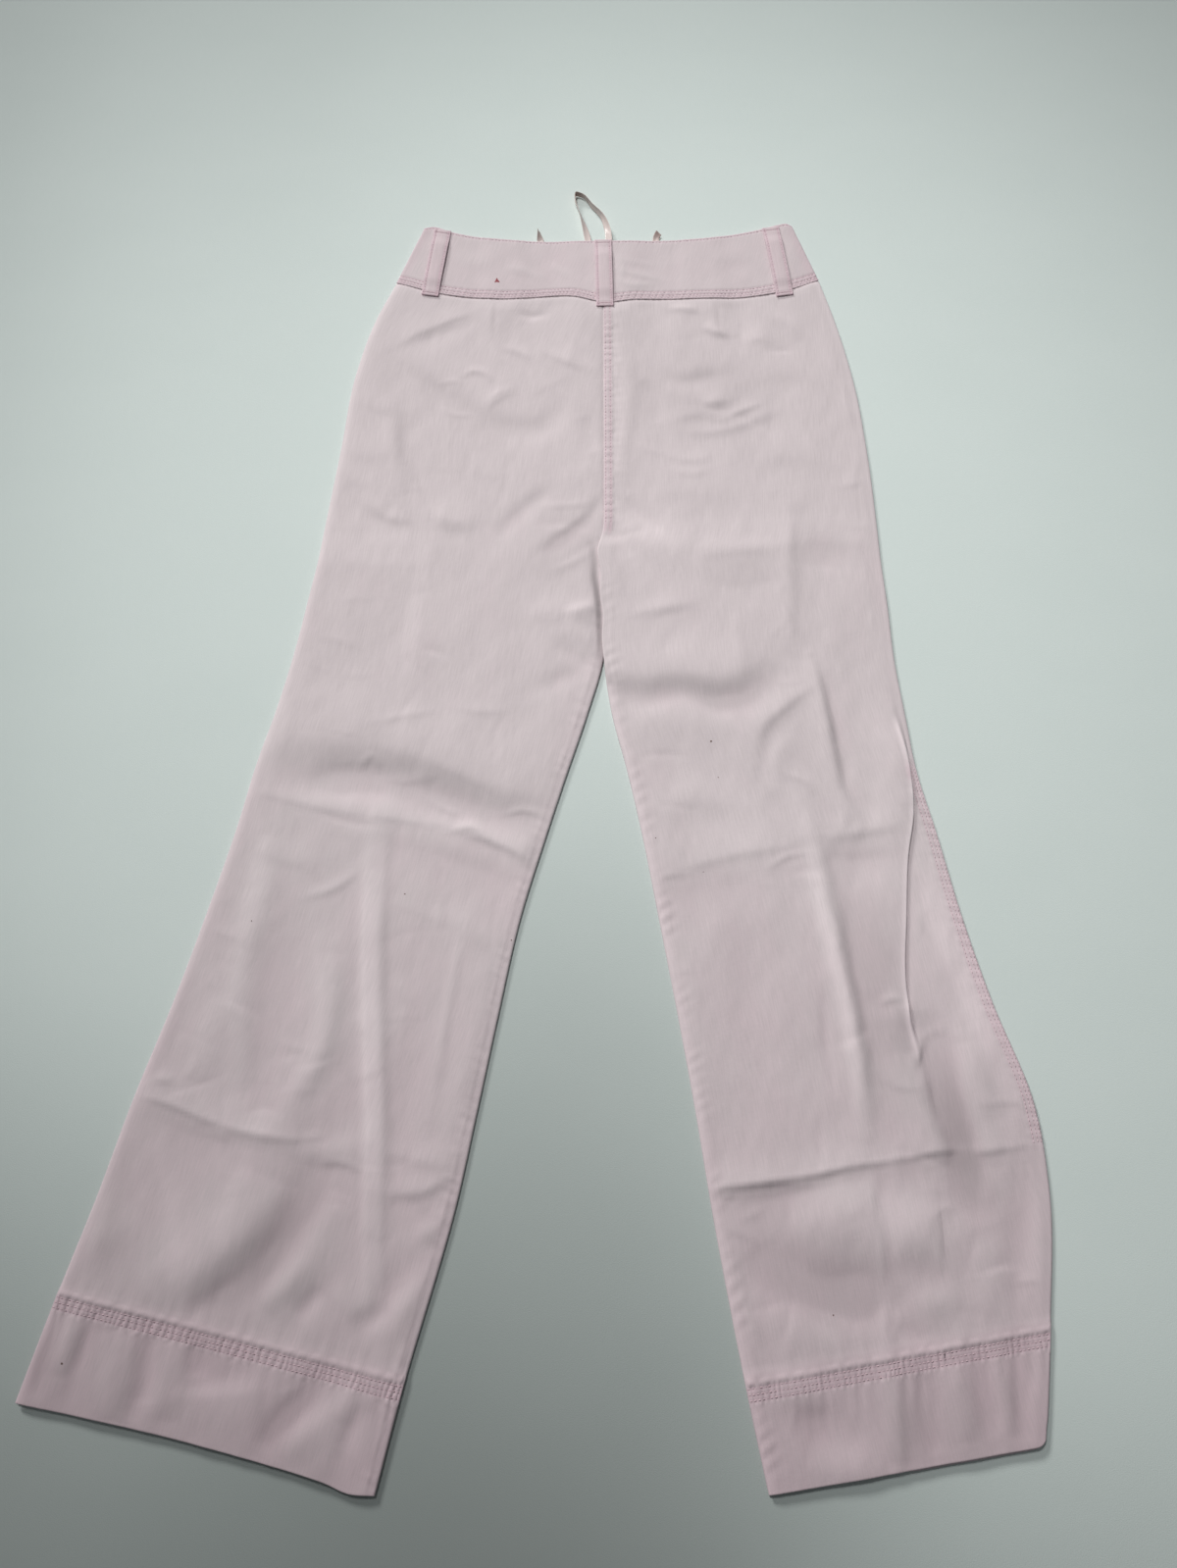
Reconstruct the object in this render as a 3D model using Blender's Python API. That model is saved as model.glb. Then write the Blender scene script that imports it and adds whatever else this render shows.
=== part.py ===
# Bootcut trousers in pale pink cotton twill, lying flat on a surface with the back upwards.
# X runs to the right as seen from above, Y from the hems to the waist, Z up from the surface.
# Tables and sizes are in millimetres; a mesh is turned into metres when it is made.
# Left and right are the wearer's. With the back upwards the wearer's left is at -X.

import math

import bpy
import numpy as np

MM = 0.001
CENTRE_SHIFT = (-5.0, 0.1)  # puts the middle of the whole garment over the origin

# Cloth, as walls
PLY = 1.1  # one leg panel
HEM_EXTRA = 0.5  # second ply of the turned-up hem, on its inner side
BAND_PLY = 1.6  # waistband, two plies
LOOP_PLY = 1.2  # belt loop, a folded strip
GAP = 0.3  # between pieces at a seam, and where one lies on another

# How high the upper layer lies
LEVEL = 3.6  # middle of a back panel's wall above the surface
ROLL = 12.0  # width over which a panel rolls down to its edge
FRONT_TOP = PLY
HEM_DEPTH = 76.0
HEM_FADE = 10.0
HEM_LIFT = 0.7  # how much higher a back panel lies over the hems
HEM_CORNER = 7.0  # radius of the right hem's outer corner, which is folded and not seamed
EDGE_CALM = (2.0, 22.0)  # distance from an edge over which the folds begin
WAIST_CALM = (4.0, 30.0)  # the same below the waist seam
WAIST_BEND = 130.0  # height over which the sections bend to the waist seam
WAIST_RISE = (46.0, 2.0)  # distance below the waist seam over which a back panel rises to the waistband

# Centre back and centre front
SEAM_X = 52.0
FORK_Y = 217.0  # where the centre back seam ends
LAP_HALF = 18.0  # half the overlap of the front waistband
LAP_SPACE = 1.1  # between the two laps, for the hook and bar
FRONT_DIP = 14.0  # how much lower the front waist is at the centre
FLY_BOTTOM = 288.0
FLY_WIDTH = 36.0
FLY_ROUND = 9.0  # how far the underlap's lower corners are drawn in
FLY_ROWS = 8
ZIP_WIDTH = 24.0
ZIP_THICK = 0.6
CATCH_THICK = 0.5
CATCH_LENGTH = 14.0
CATCH_WIDTH = 11.0
CATCH_UP = 34.0  # middle of the hook and bar above the front seam
LAP_FADE = 30.0  # width over which the back waistband rises over the front lap
LAP_BEND = (28.0, 3.0)  # distance from the lap over which its inner half rises
BAND_ROLL = (2.0, 34.0)  # distance from a side over which the back waistband rises
BAND_PAST = 4.0  # the waistband's sides lie this far past the ends of its seam
FLY_FADE = 26.0  # how far the cloth over the fly takes to come down, sideways and downwards
SEAM_TOLERANCE = 0.1

# Belt loops: on the back, the middle of the lower and the upper end
LOOP_WIDTH = 15.5
LOOP_RISE = 1.3  # ease between the middle of a loop and the waistband
LOOP_SEWN = 7.0  # length of each sewn end
BACK_LOOPS = {
    "left": ((-107.5, 455.5), (-97.5, 526.0)),
    "centre": ((53.5, 443.0), (52.0, 514.0)),
    "right": ((219.0, 455.5), (208.5, 529.0)),
}
FRONT_LOOP_X = {"left": -40.0, "right": 144.0}
FRONT_LOOP_LIFT = LOOP_PLY + GAP
LOOP_OVERLAP_RISE = 0.9  # how much the back waistband rises over a front loop
LOOP_FADE = 18.0
LOOP_EASE = 3.0
FRONT_LOOP_FADE = 24.0

# Satin ribbons: x, y and z of the middle, and the tilt of the width from flat, in degrees
RIBBON_WIDTH = 6.0
RIBBON_THICK = 0.8
RIBBON_STEP = 2.5
RIBBONS = {
    "ribbon_loop_centre": [
        (38, 503, 3.9, 0), (38, 514, 3.9, 0), (35.5, 528, 3.6, 30), (30, 548, 3.4, 75),
        (26, 561, 3.4, 90), (26.5, 567.5, 3.4, 90), (32, 566, 3.4, 90), (42, 554, 3.4, 80),
        (51, 543, 3.4, 65), (55.5, 531, 3.6, 35), (57.5, 516, 3.9, 5), (58, 503, 3.9, 0),
    ],
    "ribbon_tip_left": [
        (-6.5, 507, 1.9, 0), (-6.5, 512, 1.9, 0), (-6.6, 517, 2.0, 0), (-7, 520.5, 2.9, 35),
        (-7.5, 524, 3.5, 60), (-8, 527, 3.6, 70),
    ],
    "ribbon_tip_right": [
        (101, 507, 1.9, 0), (101, 512, 1.9, 0), (101.2, 517, 2.0, 0), (102.2, 521, 2.9, 14),
        (104.2, 524, 4.2, 24),
    ],
}

# Waist: x, y of the seam below the waistband and of its upper edge
WAIST_SEAM = [(-139, 470), (-98, 458), (-47, 452), (26, 454), (52, 448),
              (82, 451), (140, 452.5), (186, 454.5), (226, 463), (251, 473)]
FRONT_SEAM = [(-139, 470), (-60, 443), (54, 434), (170, 445), (251, 473)]
WAIST_TOP = [(-115, 529), (-107, 530.5), (-90, 525), (-69, 520), (-37, 516), (1, 514),
             (52, 514), (99, 515), (149, 518), (200, 528), (217, 533), (224, 534), (229, 531)]

# Left leg: level, outer edge x and y, inner edge x and y
LEFT_SECTIONS = [
    ("waist", -139, 470, 52, 448),
    ("dart", -157, 428, 52, 412),
    ("seat", -172, 372, 52, 365),
    ("hip", -181, 300, 52, 297),
    ("fork", -192, 217, 52, 217),
    ("fork end", -195, 194, 52, 194),
    ("under fork", -201, 160, 54, 156),
    ("thigh", -210, 110, 51.5, 103),
    ("upper leg", -222, 58, 37, 50),
    ("mid thigh", -236, 8, 19, -5),
    ("above knee", -248, -45, 3, -56),
    ("knee", -266, -112, -16, -120),
    ("below knee", -288, -187, -33, -200),
    ("shin", -312, -260, -48, -274),
    ("calf", -332, -329, -63, -345),
    ("hem stitch", -355, -401, -96, -462),
    ("hem edge", -377, -474, -114, -534),
]

# Right leg: level, inner edge x and y, outer edge x and y
RIGHT_SECTIONS = [
    ("waist", 52, 448, 251, 473),
    ("dart", 52, 412, 264, 428),
    ("seat", 52, 365, 277, 368),
    ("hip", 52, 297, 285, 300),
    ("fork", 52, 217, 290, 217),
    ("fork end", 52, 194, 291, 193),
    ("over fork", 47.5, 158, 294, 153),
    ("thigh", 51, 103, 297, 98),
    ("upper leg", 58, 52, 303, 48),
    ("mid thigh", 70, 4, 309, 2),
    ("above knee", 81, -46, 321, -47),
    ("knee", 95, -122, 337, -118),
    ("below knee", 109, -200, 356, -187),
    ("shin", 121, -272, 381, -262),
    ("calf", 132, -345, 387, -325),
    ("hem stitch", 153, -464, 378, -426),
    ("hem edge", 167, -534, 368, -502),
]

# Soft folds of the back panels: name, start, bend, end, half width, height
LEFT_FOLDS = [
    ("seat hollow", (-110, 372), (-60, 345), (-5, 322), 20, -0.9),
    ("seat ridge", (-125, 408), (-95, 428), (-66, 440), 12, 1.2),
    ("leg crease", (-100, 260), (-108, 178), (-118, 80), 22, 1.6),
    ("thigh hollow", (-205, 22), (-100, -8), (10, -32), 20, -1.2),
    ("thigh ridge", (-240, 44), (-110, 26), (20, 4), 26, 1.3),
    ("pressed strip", (-128, -10), (-135, -140), (-118, -400), 11, 1.8),
    ("knee nick", (-84, -42), (-55, -56), (-22, -74), 10, 3.2),
    ("knee hollow", (-118, -46), (-70, -64), (-10, -92), 14, -1.0),
    ("shin break", (-312, -252), (-183, -272), (-50, -290), 17, 2.2),
    ("shin hollow", (-305, -276), (-183, -300), (-58, -318), 16, -1.0),
    ("calf puff", (-250, -345), (-190, -362), (-120, -372), 34, 1.6),
    ("outer puff", (-255, -80), (-275, -160), (-296, -240), 26, 1.4),
    ("inner puff", (-30, -110), (-52, -200), (-72, -290), 24, 1.4),
]
RIGHT_FOLDS = [
    ("seat hollow", (95, 384), (140, 352), (185, 330), 20, -0.9),
    ("seat ridge", (112, 444), (140, 428), (172, 405), 12, 1.6),
    ("seam ridge", (64, 416), (74, 345), (79, 280), 9, 1.1),
    ("thigh ridge", (70, 128), (150, 92), (215, 128), 24, 1.6),
    ("thigh hollow", (62, 88), (150, 58), (205, 98), 16, -1.2),
    ("outer break", (228, 104), (241, 40), (258, -42), 12, 2.6),
    ("slanting nick", (184, 34), (206, 56), (230, 74), 10, 2.2),
    ("leg crease", (196, -12), (226, -68), (250, -262), 17, 3.0),
    ("knee ridge", (92, -76), (167, -62), (225, -58), 16, 2.0),
    ("knee hollow", (98, -100), (160, -86), (215, -84), 12, -0.9),
    ("shin break", (132, -318), (225, -312), (372, -284), 17, 2.4),
    ("shin hollow", (136, -340), (225, -334), (372, -308), 14, -1.0),
    ("calf puff", (190, -420), (250, -405), (320, -388), 30, 1.5),
    ("flare hollow", (316, -228), (322, -270), (340, -300), 16, -1.0),
    ("inner puff", (118, -160), (134, -230), (148, -290), 22, 1.4),
]

# Tuck of the right leg, where the back panel folds over the strip that carries the side seam:
# outer edge y, width of the strip, turn of the fold in degrees, cloth folded under
TUCK = [
    (474, 12, 0, 1.0),
    (70, 12, 0, 1.0),
    (40, 9, 25, 1.0),
    (16, 7, 85, 1.0),
    (-4, 8, 150, 1.2),
    (-30, 14, 180, 3.0),
    (-69, 30, 180, 7.0),
    (-118, 46, 180, 9.0),
    (-175, 66, 180, 6.0),
    (-200, 72, 165, 2.0),
    (-225, 77, 95, 1.0),
    (-255, 82, 35, 1.0),
    (-290, 86, 8, 1.0),
    (-500, 86, 0, 1.0),
]
TUCK_RADIUS = 0.8
TUCK_SLOPE = 36.0  # width over which the upper cloth rises to the tuck
TUCK_POINTS = 4  # on each of its two turns
STRIP_SHARES = (0.25, 0.5, 0.72, 0.88, 0.95, 1.0)

# At the fork the right leg's fold lies on the left leg
OVERLAP_LIFT = 1.5
OVERLAP_END = 92.0
OVERLAP_FADE = 26.0
OVERLAP_SLOPE = (30.0, 6.0)  # distance from the fold over which it rises
FORK_FADE = (FORK_Y + 2.0, FORK_Y - 14.0)  # where the lift and the inner edges' roll begin

# Grids: columns and rows of each panel
BACK_COLUMNS = 13
BACK_ROWS = 45
FRONT_COLUMNS = 12
FRONT_ROWS = 22
BAND_COLUMNS = 41
BAND_ROWS = 4
LOOP_ROWS = 14
EDGE_STEPS = (0.0, 1.5, 5.0, 11.0)  # distances from an edge where the roll needs points

COLOURS = {
    "cotton": (0.80, 0.66, 0.68),
    "cotton trim": (0.80, 0.62, 0.65),
    "satin": (0.83, 0.72, 0.70),
    "zip": (0.78, 0.64, 0.66),
    "metal": (0.56, 0.56, 0.57),
}


def smooth(keys, values, at):
    """Cubic curve through the values, with keys rising or falling."""
    keys = np.asarray(keys, float)
    values = np.asarray(values, float)
    if keys[0] > keys[-1]:
        keys, values = keys[::-1], values[::-1]
    at = np.clip(np.asarray(at, float), keys[0], keys[-1])
    slopes = np.gradient(values, keys, axis=0)
    cell = np.clip(np.searchsorted(keys, at, side="right") - 1, 0, len(keys) - 2)
    span = keys[cell + 1] - keys[cell]
    t = (at - keys[cell]) / span
    if values.ndim > 1:
        t, span = t[..., None], span[..., None]
    start = values[cell] * (2 * t**3 - 3 * t**2 + 1) + slopes[cell] * span * (t**3 - 2 * t**2 + t)
    end = values[cell + 1] * (3 * t**2 - 2 * t**3) + slopes[cell + 1] * span * (t**3 - t**2)
    return start + end


def step(value, low, high):
    """0 below low, 1 above high, smooth between; low may be above high."""
    t = np.clip((np.asarray(value, float) - low) / (high - low), 0.0, 1.0)
    return t * t * (3.0 - 2.0 * t)


def plateau(value, centre, half, fade):
    """1 within half of the centre, falling to 0 over the fade."""
    return step(np.abs(value - centre), half + fade, half)


def line(table, x):
    """Height over x of a smooth line through a table of points."""
    points = np.array(table, float)
    return smooth(points[:, 0], points[:, 1], x)


def front_dip(x):
    """How much lower the front's upper edge lies than the back's."""
    middle = 0.5 * (WAIST_SEAM[0][0] + WAIST_SEAM[-1][0])
    half = 0.5 * (WAIST_SEAM[-1][0] - WAIST_SEAM[0][0])
    away = np.clip(np.abs(x - middle) / half, 0.0, 1.0)
    return FRONT_DIP * np.cos(0.5 * math.pi * away) ** 2


def relief(x, y, folds):
    """Sum of the soft folds at each point."""
    total = np.zeros_like(x)
    for _name, start, bend, end, half_width, height in folds:
        t = np.linspace(0.0, 1.0, 17)
        spine = smooth((0.0, 0.5, 1.0), (start, bend, end), t)
        away = np.hypot(x[..., None] - spine[:, 0], y[..., None] - spine[:, 1])
        nearest = away.argmin(axis=-1)
        taper = np.sin(math.pi * np.clip(t[nearest], 0.04, 0.96)) ** 0.6
        total += height * taper * np.exp(-(away.min(axis=-1) / half_width) ** 2)
    return total


def loops_across(x, ease, fade):
    """1 over the front belt loops, 0 away from them."""
    half = LOOP_WIDTH / 2 + ease
    return sum(plateau(x, loop_x, half, fade) for loop_x in FRONT_LOOP_X.values())


def front_loop_lift(x, y):
    """The front cloth passes over its two belt loops."""
    across = loops_across(x, LOOP_EASE / 2, LOOP_FADE - 4.0)
    down = step(y - line(FRONT_SEAM, x), -FRONT_LOOP_FADE, -LOOP_EASE / 2)
    return FRONT_LOOP_LIFT * across * down


def band_level(x):
    """Middle of the back waistband's wall above the surface."""
    ends = BAND_PLY + GAP + BAND_PLY / 2
    from_left = x - WAIST_SEAM[0][0]
    from_right = WAIST_SEAM[-1][0] - x
    side = np.minimum(from_left, from_right) + BAND_PAST
    rolled = ends + (LEVEL - ends) * step(side, *BAND_ROLL)
    lap_top = BAND_PLY + LAP_SPACE + BAND_PLY
    over_lap = lap_top + GAP + BAND_PLY / 2 - LEVEL
    lap = over_lap * plateau(x, SEAM_X, LAP_HALF + BAND_PAST, LAP_FADE)
    return rolled + lap + LOOP_OVERLAP_RISE * loops_across(x, LOOP_EASE, LOOP_FADE)


def back_level(x, y):
    """Middle of a back panel's wall above the surface, away from its edges and without folds."""
    below = line(WAIST_SEAM, x) - y
    fly_top = FRONT_TOP + GAP + ZIP_THICK + GAP + PLY
    over_fly = fly_top + GAP + PLY / 2 - LEVEL + SEAM_TOLERANCE
    across = plateau(x, SEAM_X, FLY_WIDTH / 2 + BAND_PAST, FLY_FADE)
    fly = over_fly * across * step(y, FLY_BOTTOM - FLY_FADE - 8.0, FLY_BOTTOM - 8.0)
    at_waist = step(below, *WAIST_RISE)
    return LEVEL + fly + (np.maximum(band_level(x), LEVEL + fly) - LEVEL - fly) * at_waist


def wall(name, centre, above, below, material):
    """A cloth wall: a grid of points and how far its two faces lie from it along the normals."""
    along = np.gradient(centre, axis=1)
    down = np.gradient(centre, axis=0)
    normal = np.cross(down, along)
    normal /= np.linalg.norm(normal, axis=2, keepdims=True)
    above = np.broadcast_to(above, centre.shape[:2])[..., None]
    below = np.broadcast_to(below, centre.shape[:2])[..., None]
    outer = centre + normal * above
    inner = centre - normal * below
    rows, columns = centre.shape[:2]
    points = np.concatenate([outer.reshape(-1, 3), inner.reshape(-1, 3)])
    faces = []
    size = rows * columns

    def corner(row, column, side):
        return side * size + row * columns + column

    for row in range(rows - 1):
        for column in range(columns - 1):
            quad = [(row, column), (row + 1, column), (row + 1, column + 1), (row, column + 1)]
            faces.append([corner(r, c, 0) for r, c in quad])
            faces.append([corner(r, c, 1) for r, c in reversed(quad)])
    rim = [(0, c) for c in range(columns)]
    rim += [(r, columns - 1) for r in range(1, rows)]
    rim += [(rows - 1, c) for c in range(columns - 2, -1, -1)]
    rim += [(r, 0) for r in range(rows - 2, 0, -1)]
    for here, after in zip(rim, rim[1:] + rim[:1]):
        faces.append([corner(*here, 0), corner(*after, 0), corner(*after, 1), corner(*here, 1)])
    return add_mesh(name, points, faces, material)


def add_mesh(name, points, faces, material):
    """One named object from points in millimetres."""
    moved = np.asarray(points, float) + np.array([*CENTRE_SHIFT, 0.0])
    mesh = bpy.data.meshes.new(name)
    mesh.from_pydata((moved * MM).tolist(), [], faces)
    mesh.update()
    mesh.materials.append(finish(material))
    for face in mesh.polygons:
        face.use_smooth = True
    item = bpy.data.objects.new(name, mesh)
    bpy.context.scene.collection.objects.link(item)
    return item


def finish(name):
    """The Principled material of that name, made once."""
    found = bpy.data.materials.get(name)
    if found:
        return found
    material = bpy.data.materials.new(name)
    material.use_nodes = True
    shader = material.node_tree.nodes["Principled BSDF"]
    shader.inputs["Base Color"].default_value = (*COLOURS[name], 1.0)
    shader.inputs["Roughness"].default_value = {"satin": 0.35, "metal": 0.3}.get(name, 0.8)
    shader.inputs["Metallic"].default_value = 1.0 if name == "metal" else 0.0
    return material


def sections(table, rows):
    """Both ends of evenly spaced sections, from the waist to the hem, and their places down the leg."""
    ends = np.array([row[1:] for row in table], float)
    middle = 0.5 * (ends[:, :2] + ends[:, 2:])
    down = np.concatenate([[0.0], np.cumsum(np.linalg.norm(np.diff(middle, axis=0), axis=1))])
    at = np.linspace(0.0, down[-1], rows)
    found = smooth(down, ends, at)
    return found[:, :2], found[:, 2:], at


def between(first, last, away):
    """Points on each section at their distances from its first end."""
    share = (away / np.linalg.norm(last - first, axis=1)[:, None])[..., None]
    return first[:, None] * (1 - share) + last[:, None] * share


def follow_waist(points, seam):
    """Bends the upper sections to the waist seam."""
    x, y = points[..., 0], points[..., 1]
    miss = (line(seam, x) - GAP / 2 - y)[0]
    fade = step(y[0] - y, WAIST_BEND, 0.0)
    points[..., 1] = y + miss * fade
    return points


def round_corner(points, away_outer):
    """Lifts the outer end of the hem's edge into a round corner."""
    near = np.clip(HEM_CORNER - away_outer[-1], 0.0, HEM_CORNER)
    points[-1, :, 1] += HEM_CORNER - np.sqrt(HEM_CORNER**2 - near**2)
    return points


def roll_down(away):
    """0 at an edge and 1 from the roll's width inwards, round between."""
    near = np.clip(away / ROLL, 0.0, 1.0)
    return np.sqrt(1.0 - (1.0 - near) ** 2)


def hem_share(at):
    """1 in the turned-up hem, 0 above it."""
    return step(at, at[-1] - HEM_DEPTH - HEM_FADE, at[-1] - HEM_DEPTH)[:, None]


def back_heights(points, away_outer, away_inner, at, folds, inner_roll_y):
    """Heights of the middle of a back panel's wall, rolled down to the front at its edges.
    The inner edge rolls only below the heights given, where it isn't the centre back seam."""
    x, y = points[..., 0], points[..., 1]
    hem = hem_share(at)
    edge = FRONT_TOP + GAP + PLY / 2 + hem * 2 * HEM_EXTRA
    level = back_level(x, y) + hem * HEM_LIFT
    inner_rolls = step(y, *inner_roll_y)
    rolled = roll_down(away_outer) * (1.0 - inner_rolls * (1.0 - roll_down(away_inner)))
    away = np.minimum(away_outer, np.where(inner_rolls > 0.5, away_inner, away_outer))
    quiet = step(away, *EDGE_CALM) * step(line(WAIST_SEAM, x) - y, *WAIST_CALM)
    return edge + (level - edge) * rolled + relief(x, y, folds) * quiet


def leg_back_left():
    outer, inner, at = sections(LEFT_SECTIONS, BACK_ROWS)
    inner[:, 0] -= GAP / 2
    width = np.linalg.norm(inner - outer, axis=1)
    away = [np.full_like(width, d) for d in EDGE_STEPS]
    for share in np.linspace(0.0, 1.0, BACK_COLUMNS + 2)[1:-1]:
        away.append(EDGE_STEPS[-1] + (width - 2 * EDGE_STEPS[-1]) * share)
    away += [width - d for d in reversed(EDGE_STEPS)]
    away = np.array(away).T
    points = follow_waist(between(outer, inner, away), WAIST_SEAM)
    z = back_heights(points, away, width[:, None] - away, at, LEFT_FOLDS, FORK_FADE)
    below = PLY / 2 + HEM_EXTRA * hem_share(at)
    return wall("leg_back_left", np.dstack([points, z]), PLY / 2, below, "cotton")


def tuck_columns(width, outer_y):
    """Distances of the right back leg's columns from its inner edge, and their lift for the tuck.
    The cloth turns down through an angle, runs back under itself and turns forward again."""
    table = np.array(TUCK, float)
    strip, turn, under = smooth(table[:, 0], table[:, 1:], outer_y).T
    turn = np.radians(np.clip(turn, 1.0, 180.0))
    radius = TUCK_RADIUS * math.pi / turn  # each turn takes the same length of cloth
    under = np.maximum(under, 1.0)
    fold = width - strip
    turned = radius * np.sin(turn) + under * np.cos(turn)
    fallen = radius * (1 - np.cos(turn)) + under * np.sin(turn)
    fall = fallen + radius * (1 - np.cos(turn))
    flat = np.zeros_like(width)
    away = [flat + d for d in EDGE_STEPS]
    for share in np.linspace(0.0, 1.0, BACK_COLUMNS)[1:-1]:
        away.append(EDGE_STEPS[-1] + (fold - EDGE_STEPS[-1]) * share)
    lift = [fall * step(fold - under - d, TUCK_SLOPE, 3.0) for d in away]
    for part in np.linspace(0.0, 1.0, TUCK_POINTS):
        away.append(fold + radius * np.sin(turn * part))
        lift.append(fall - radius * (1 - np.cos(turn * part)))
    for part in np.linspace(1.0, 0.0, TUCK_POINTS):
        away.append(fold + turned + radius * (np.sin(turn) - np.sin(turn * part)))
        lift.append(radius * (1 - np.cos(turn * part)))
    start = away[-1]
    for share in STRIP_SHARES:
        away.append(start + (width - start) * share)
        lift.append(flat)
    return np.array(away).T, np.array(lift).T


def leg_back_right():
    inner, outer, at = sections(RIGHT_SECTIONS, BACK_ROWS)
    inner[:, 0] += GAP / 2
    width = np.linalg.norm(outer - inner, axis=1)
    away, lift = tuck_columns(width, outer[:, 1])
    away_outer = width[:, None] - away
    points = follow_waist(between(inner, outer, away), WAIST_SEAM)
    points = round_corner(points, away_outer)
    roll_y = (OVERLAP_END, OVERLAP_END - OVERLAP_FADE)
    z = back_heights(points, away_outer, away, at, RIGHT_FOLDS, roll_y)
    edge_y = inner[:, 1:]
    over = step(edge_y, roll_y[1], roll_y[0]) * step(edge_y, *FORK_FADE)
    z += lift + OVERLAP_LIFT * over * step(away, *OVERLAP_SLOPE)
    below = PLY / 2 + HEM_EXTRA * hem_share(at)
    return wall("leg_back_right", np.dstack([points, z]), PLY / 2, below, "cotton")


def leg_front(side, table, from_left):
    """A front panel, flat on the surface, with the same outline as the back but for the waist."""
    first, last, at = sections(table, FRONT_ROWS)
    if from_left:
        last[:, 0] = np.minimum(last[:, 0], SEAM_X) - GAP / 2
    else:
        first[:, 0] = np.maximum(first[:, 0], SEAM_X) + GAP / 2
    width = np.linalg.norm(last - first, axis=1)
    away = width[:, None] * np.linspace(0.0, 1.0, FRONT_COLUMNS)
    points = follow_waist(between(first, last, away), FRONT_SEAM)
    if not from_left:
        points = round_corner(points, width[:, None] - away)
    z = PLY / 2 + front_loop_lift(points[..., 0], points[..., 1])
    above = PLY / 2 + HEM_EXTRA * hem_share(at)
    return wall(f"leg_front_{side}", np.dstack([points, z]), above, PLY / 2, "cotton")


def band_points(start_share, end_share, columns, seam):
    """Points of a waistband from its upper edge to its seam, between two shares of its length."""
    shares = np.linspace(start_share, end_share, columns)
    edges = []
    for table in (WAIST_TOP, seam):
        x = table[0][0] + (table[-1][0] - table[0][0]) * shares
        edges.append(np.stack([x, line(table, x)], axis=1))
    edges[1][:, 1] += GAP / 2
    if seam is FRONT_SEAM:
        edges[0][:, 1] -= front_dip(edges[0][:, 0])
    down = np.linspace(0.0, 1.0, BAND_ROWS)[:, None, None]
    return edges[0] * (1 - down) + edges[1] * down


def band_share(x):
    """Share of the waistband's length at which its middle line crosses x."""
    ends = [0.5 * (WAIST_TOP[i][0] + WAIST_SEAM[i][0]) for i in (0, -1)]
    return (x - ends[0]) / (ends[1] - ends[0])


def waistband_back():
    points = band_points(0.0, 1.0, BAND_COLUMNS, WAIST_SEAM)
    z = band_level(points[..., 0])
    return wall("waistband_back", np.dstack([points, z]), BAND_PLY / 2, BAND_PLY / 2, "cotton")


def waistband_front(side):
    """A front half. The wearer's right laps over the left, which lies inside, so higher here."""
    columns = BAND_COLUMNS // 2 + 3
    if side == "left":
        points = band_points(0.0, band_share(SEAM_X + LAP_HALF), columns, FRONT_SEAM)
        before = SEAM_X - LAP_HALF - points[..., 0]
        inside = (BAND_PLY + LAP_SPACE) * step(before, *LAP_BEND)
    else:
        points = band_points(band_share(SEAM_X - LAP_HALF), 1.0, columns, FRONT_SEAM)
        inside = 0.0
    z = BAND_PLY / 2 + inside + front_loop_lift(points[..., 0], points[..., 1])
    centre = np.dstack([points, z])
    return wall(f"waistband_front_{side}", centre, BAND_PLY / 2, BAND_PLY / 2, "cotton")


def strip_points(bottom, top, width, rows):
    """A straight strip of three columns, from its upper end down."""
    bottom, top = np.array(bottom, float), np.array(top, float)
    along = (top - bottom) / np.linalg.norm(top - bottom)
    across = np.array([along[1], -along[0]]) * width / 2
    middle = top + (bottom - top) * np.linspace(0.0, 1.0, rows)[:, None]
    return np.stack([middle - across, middle, middle + across], axis=1)


def belt_loop_back(side):
    """A folded strip over the waistband, sewn down at both ends and a little slack between."""
    bottom, top = BACK_LOOPS[side]
    points = strip_points(bottom, top, LOOP_WIDTH, LOOP_ROWS)
    length = math.dist(bottom, top)
    run = length * np.linspace(0.0, 1.0, LOOP_ROWS)[:, None]
    slack = LOOP_RISE * step(np.minimum(run, length - run), LOOP_SEWN, 2.6 * LOOP_SEWN)
    z = band_level(points[..., 0]) + BAND_PLY / 2 + GAP + LOOP_PLY / 2 + slack
    centre = np.dstack([points, z])
    return wall(f"belt_loop_back_{side}", centre, LOOP_PLY / 2, LOOP_PLY / 2, "cotton trim")


def belt_loop_front(side):
    """A front loop, pressed flat between the waistband and the surface."""
    x = FRONT_LOOP_X[side]
    top = float(line(WAIST_TOP, x) - front_dip(x)) - 1.0
    bottom = float(line(FRONT_SEAM, x)) + 2.0
    points = strip_points((x, bottom), (x, top), LOOP_WIDTH, 3)
    z = np.full(points.shape[:2], LOOP_PLY / 2)
    centre = np.dstack([points, z])
    return wall(f"belt_loop_front_{side}", centre, LOOP_PLY / 2, LOOP_PLY / 2, "cotton trim")


def flat_strip(name, left, right, bottom, top, low, thick, material, taper=0.0):
    """A flat strip with its lower corners drawn in by the taper."""
    y = np.linspace(top, bottom, FLY_ROWS)
    draw = taper * (1.0 - np.sqrt(np.clip((y - bottom) / (3 * taper + 1e-6), 0.0, 1.0)))
    columns = np.linspace(0.0, 1.0, 3)
    x = (left + draw)[:, None] * (1 - columns) + (right - draw)[:, None] * columns
    z = np.full_like(x, low + thick / 2)
    centre = np.dstack([x, np.broadcast_to(y[:, None], x.shape), z])
    return wall(name, centre, thick / 2, thick / 2, material)


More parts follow.
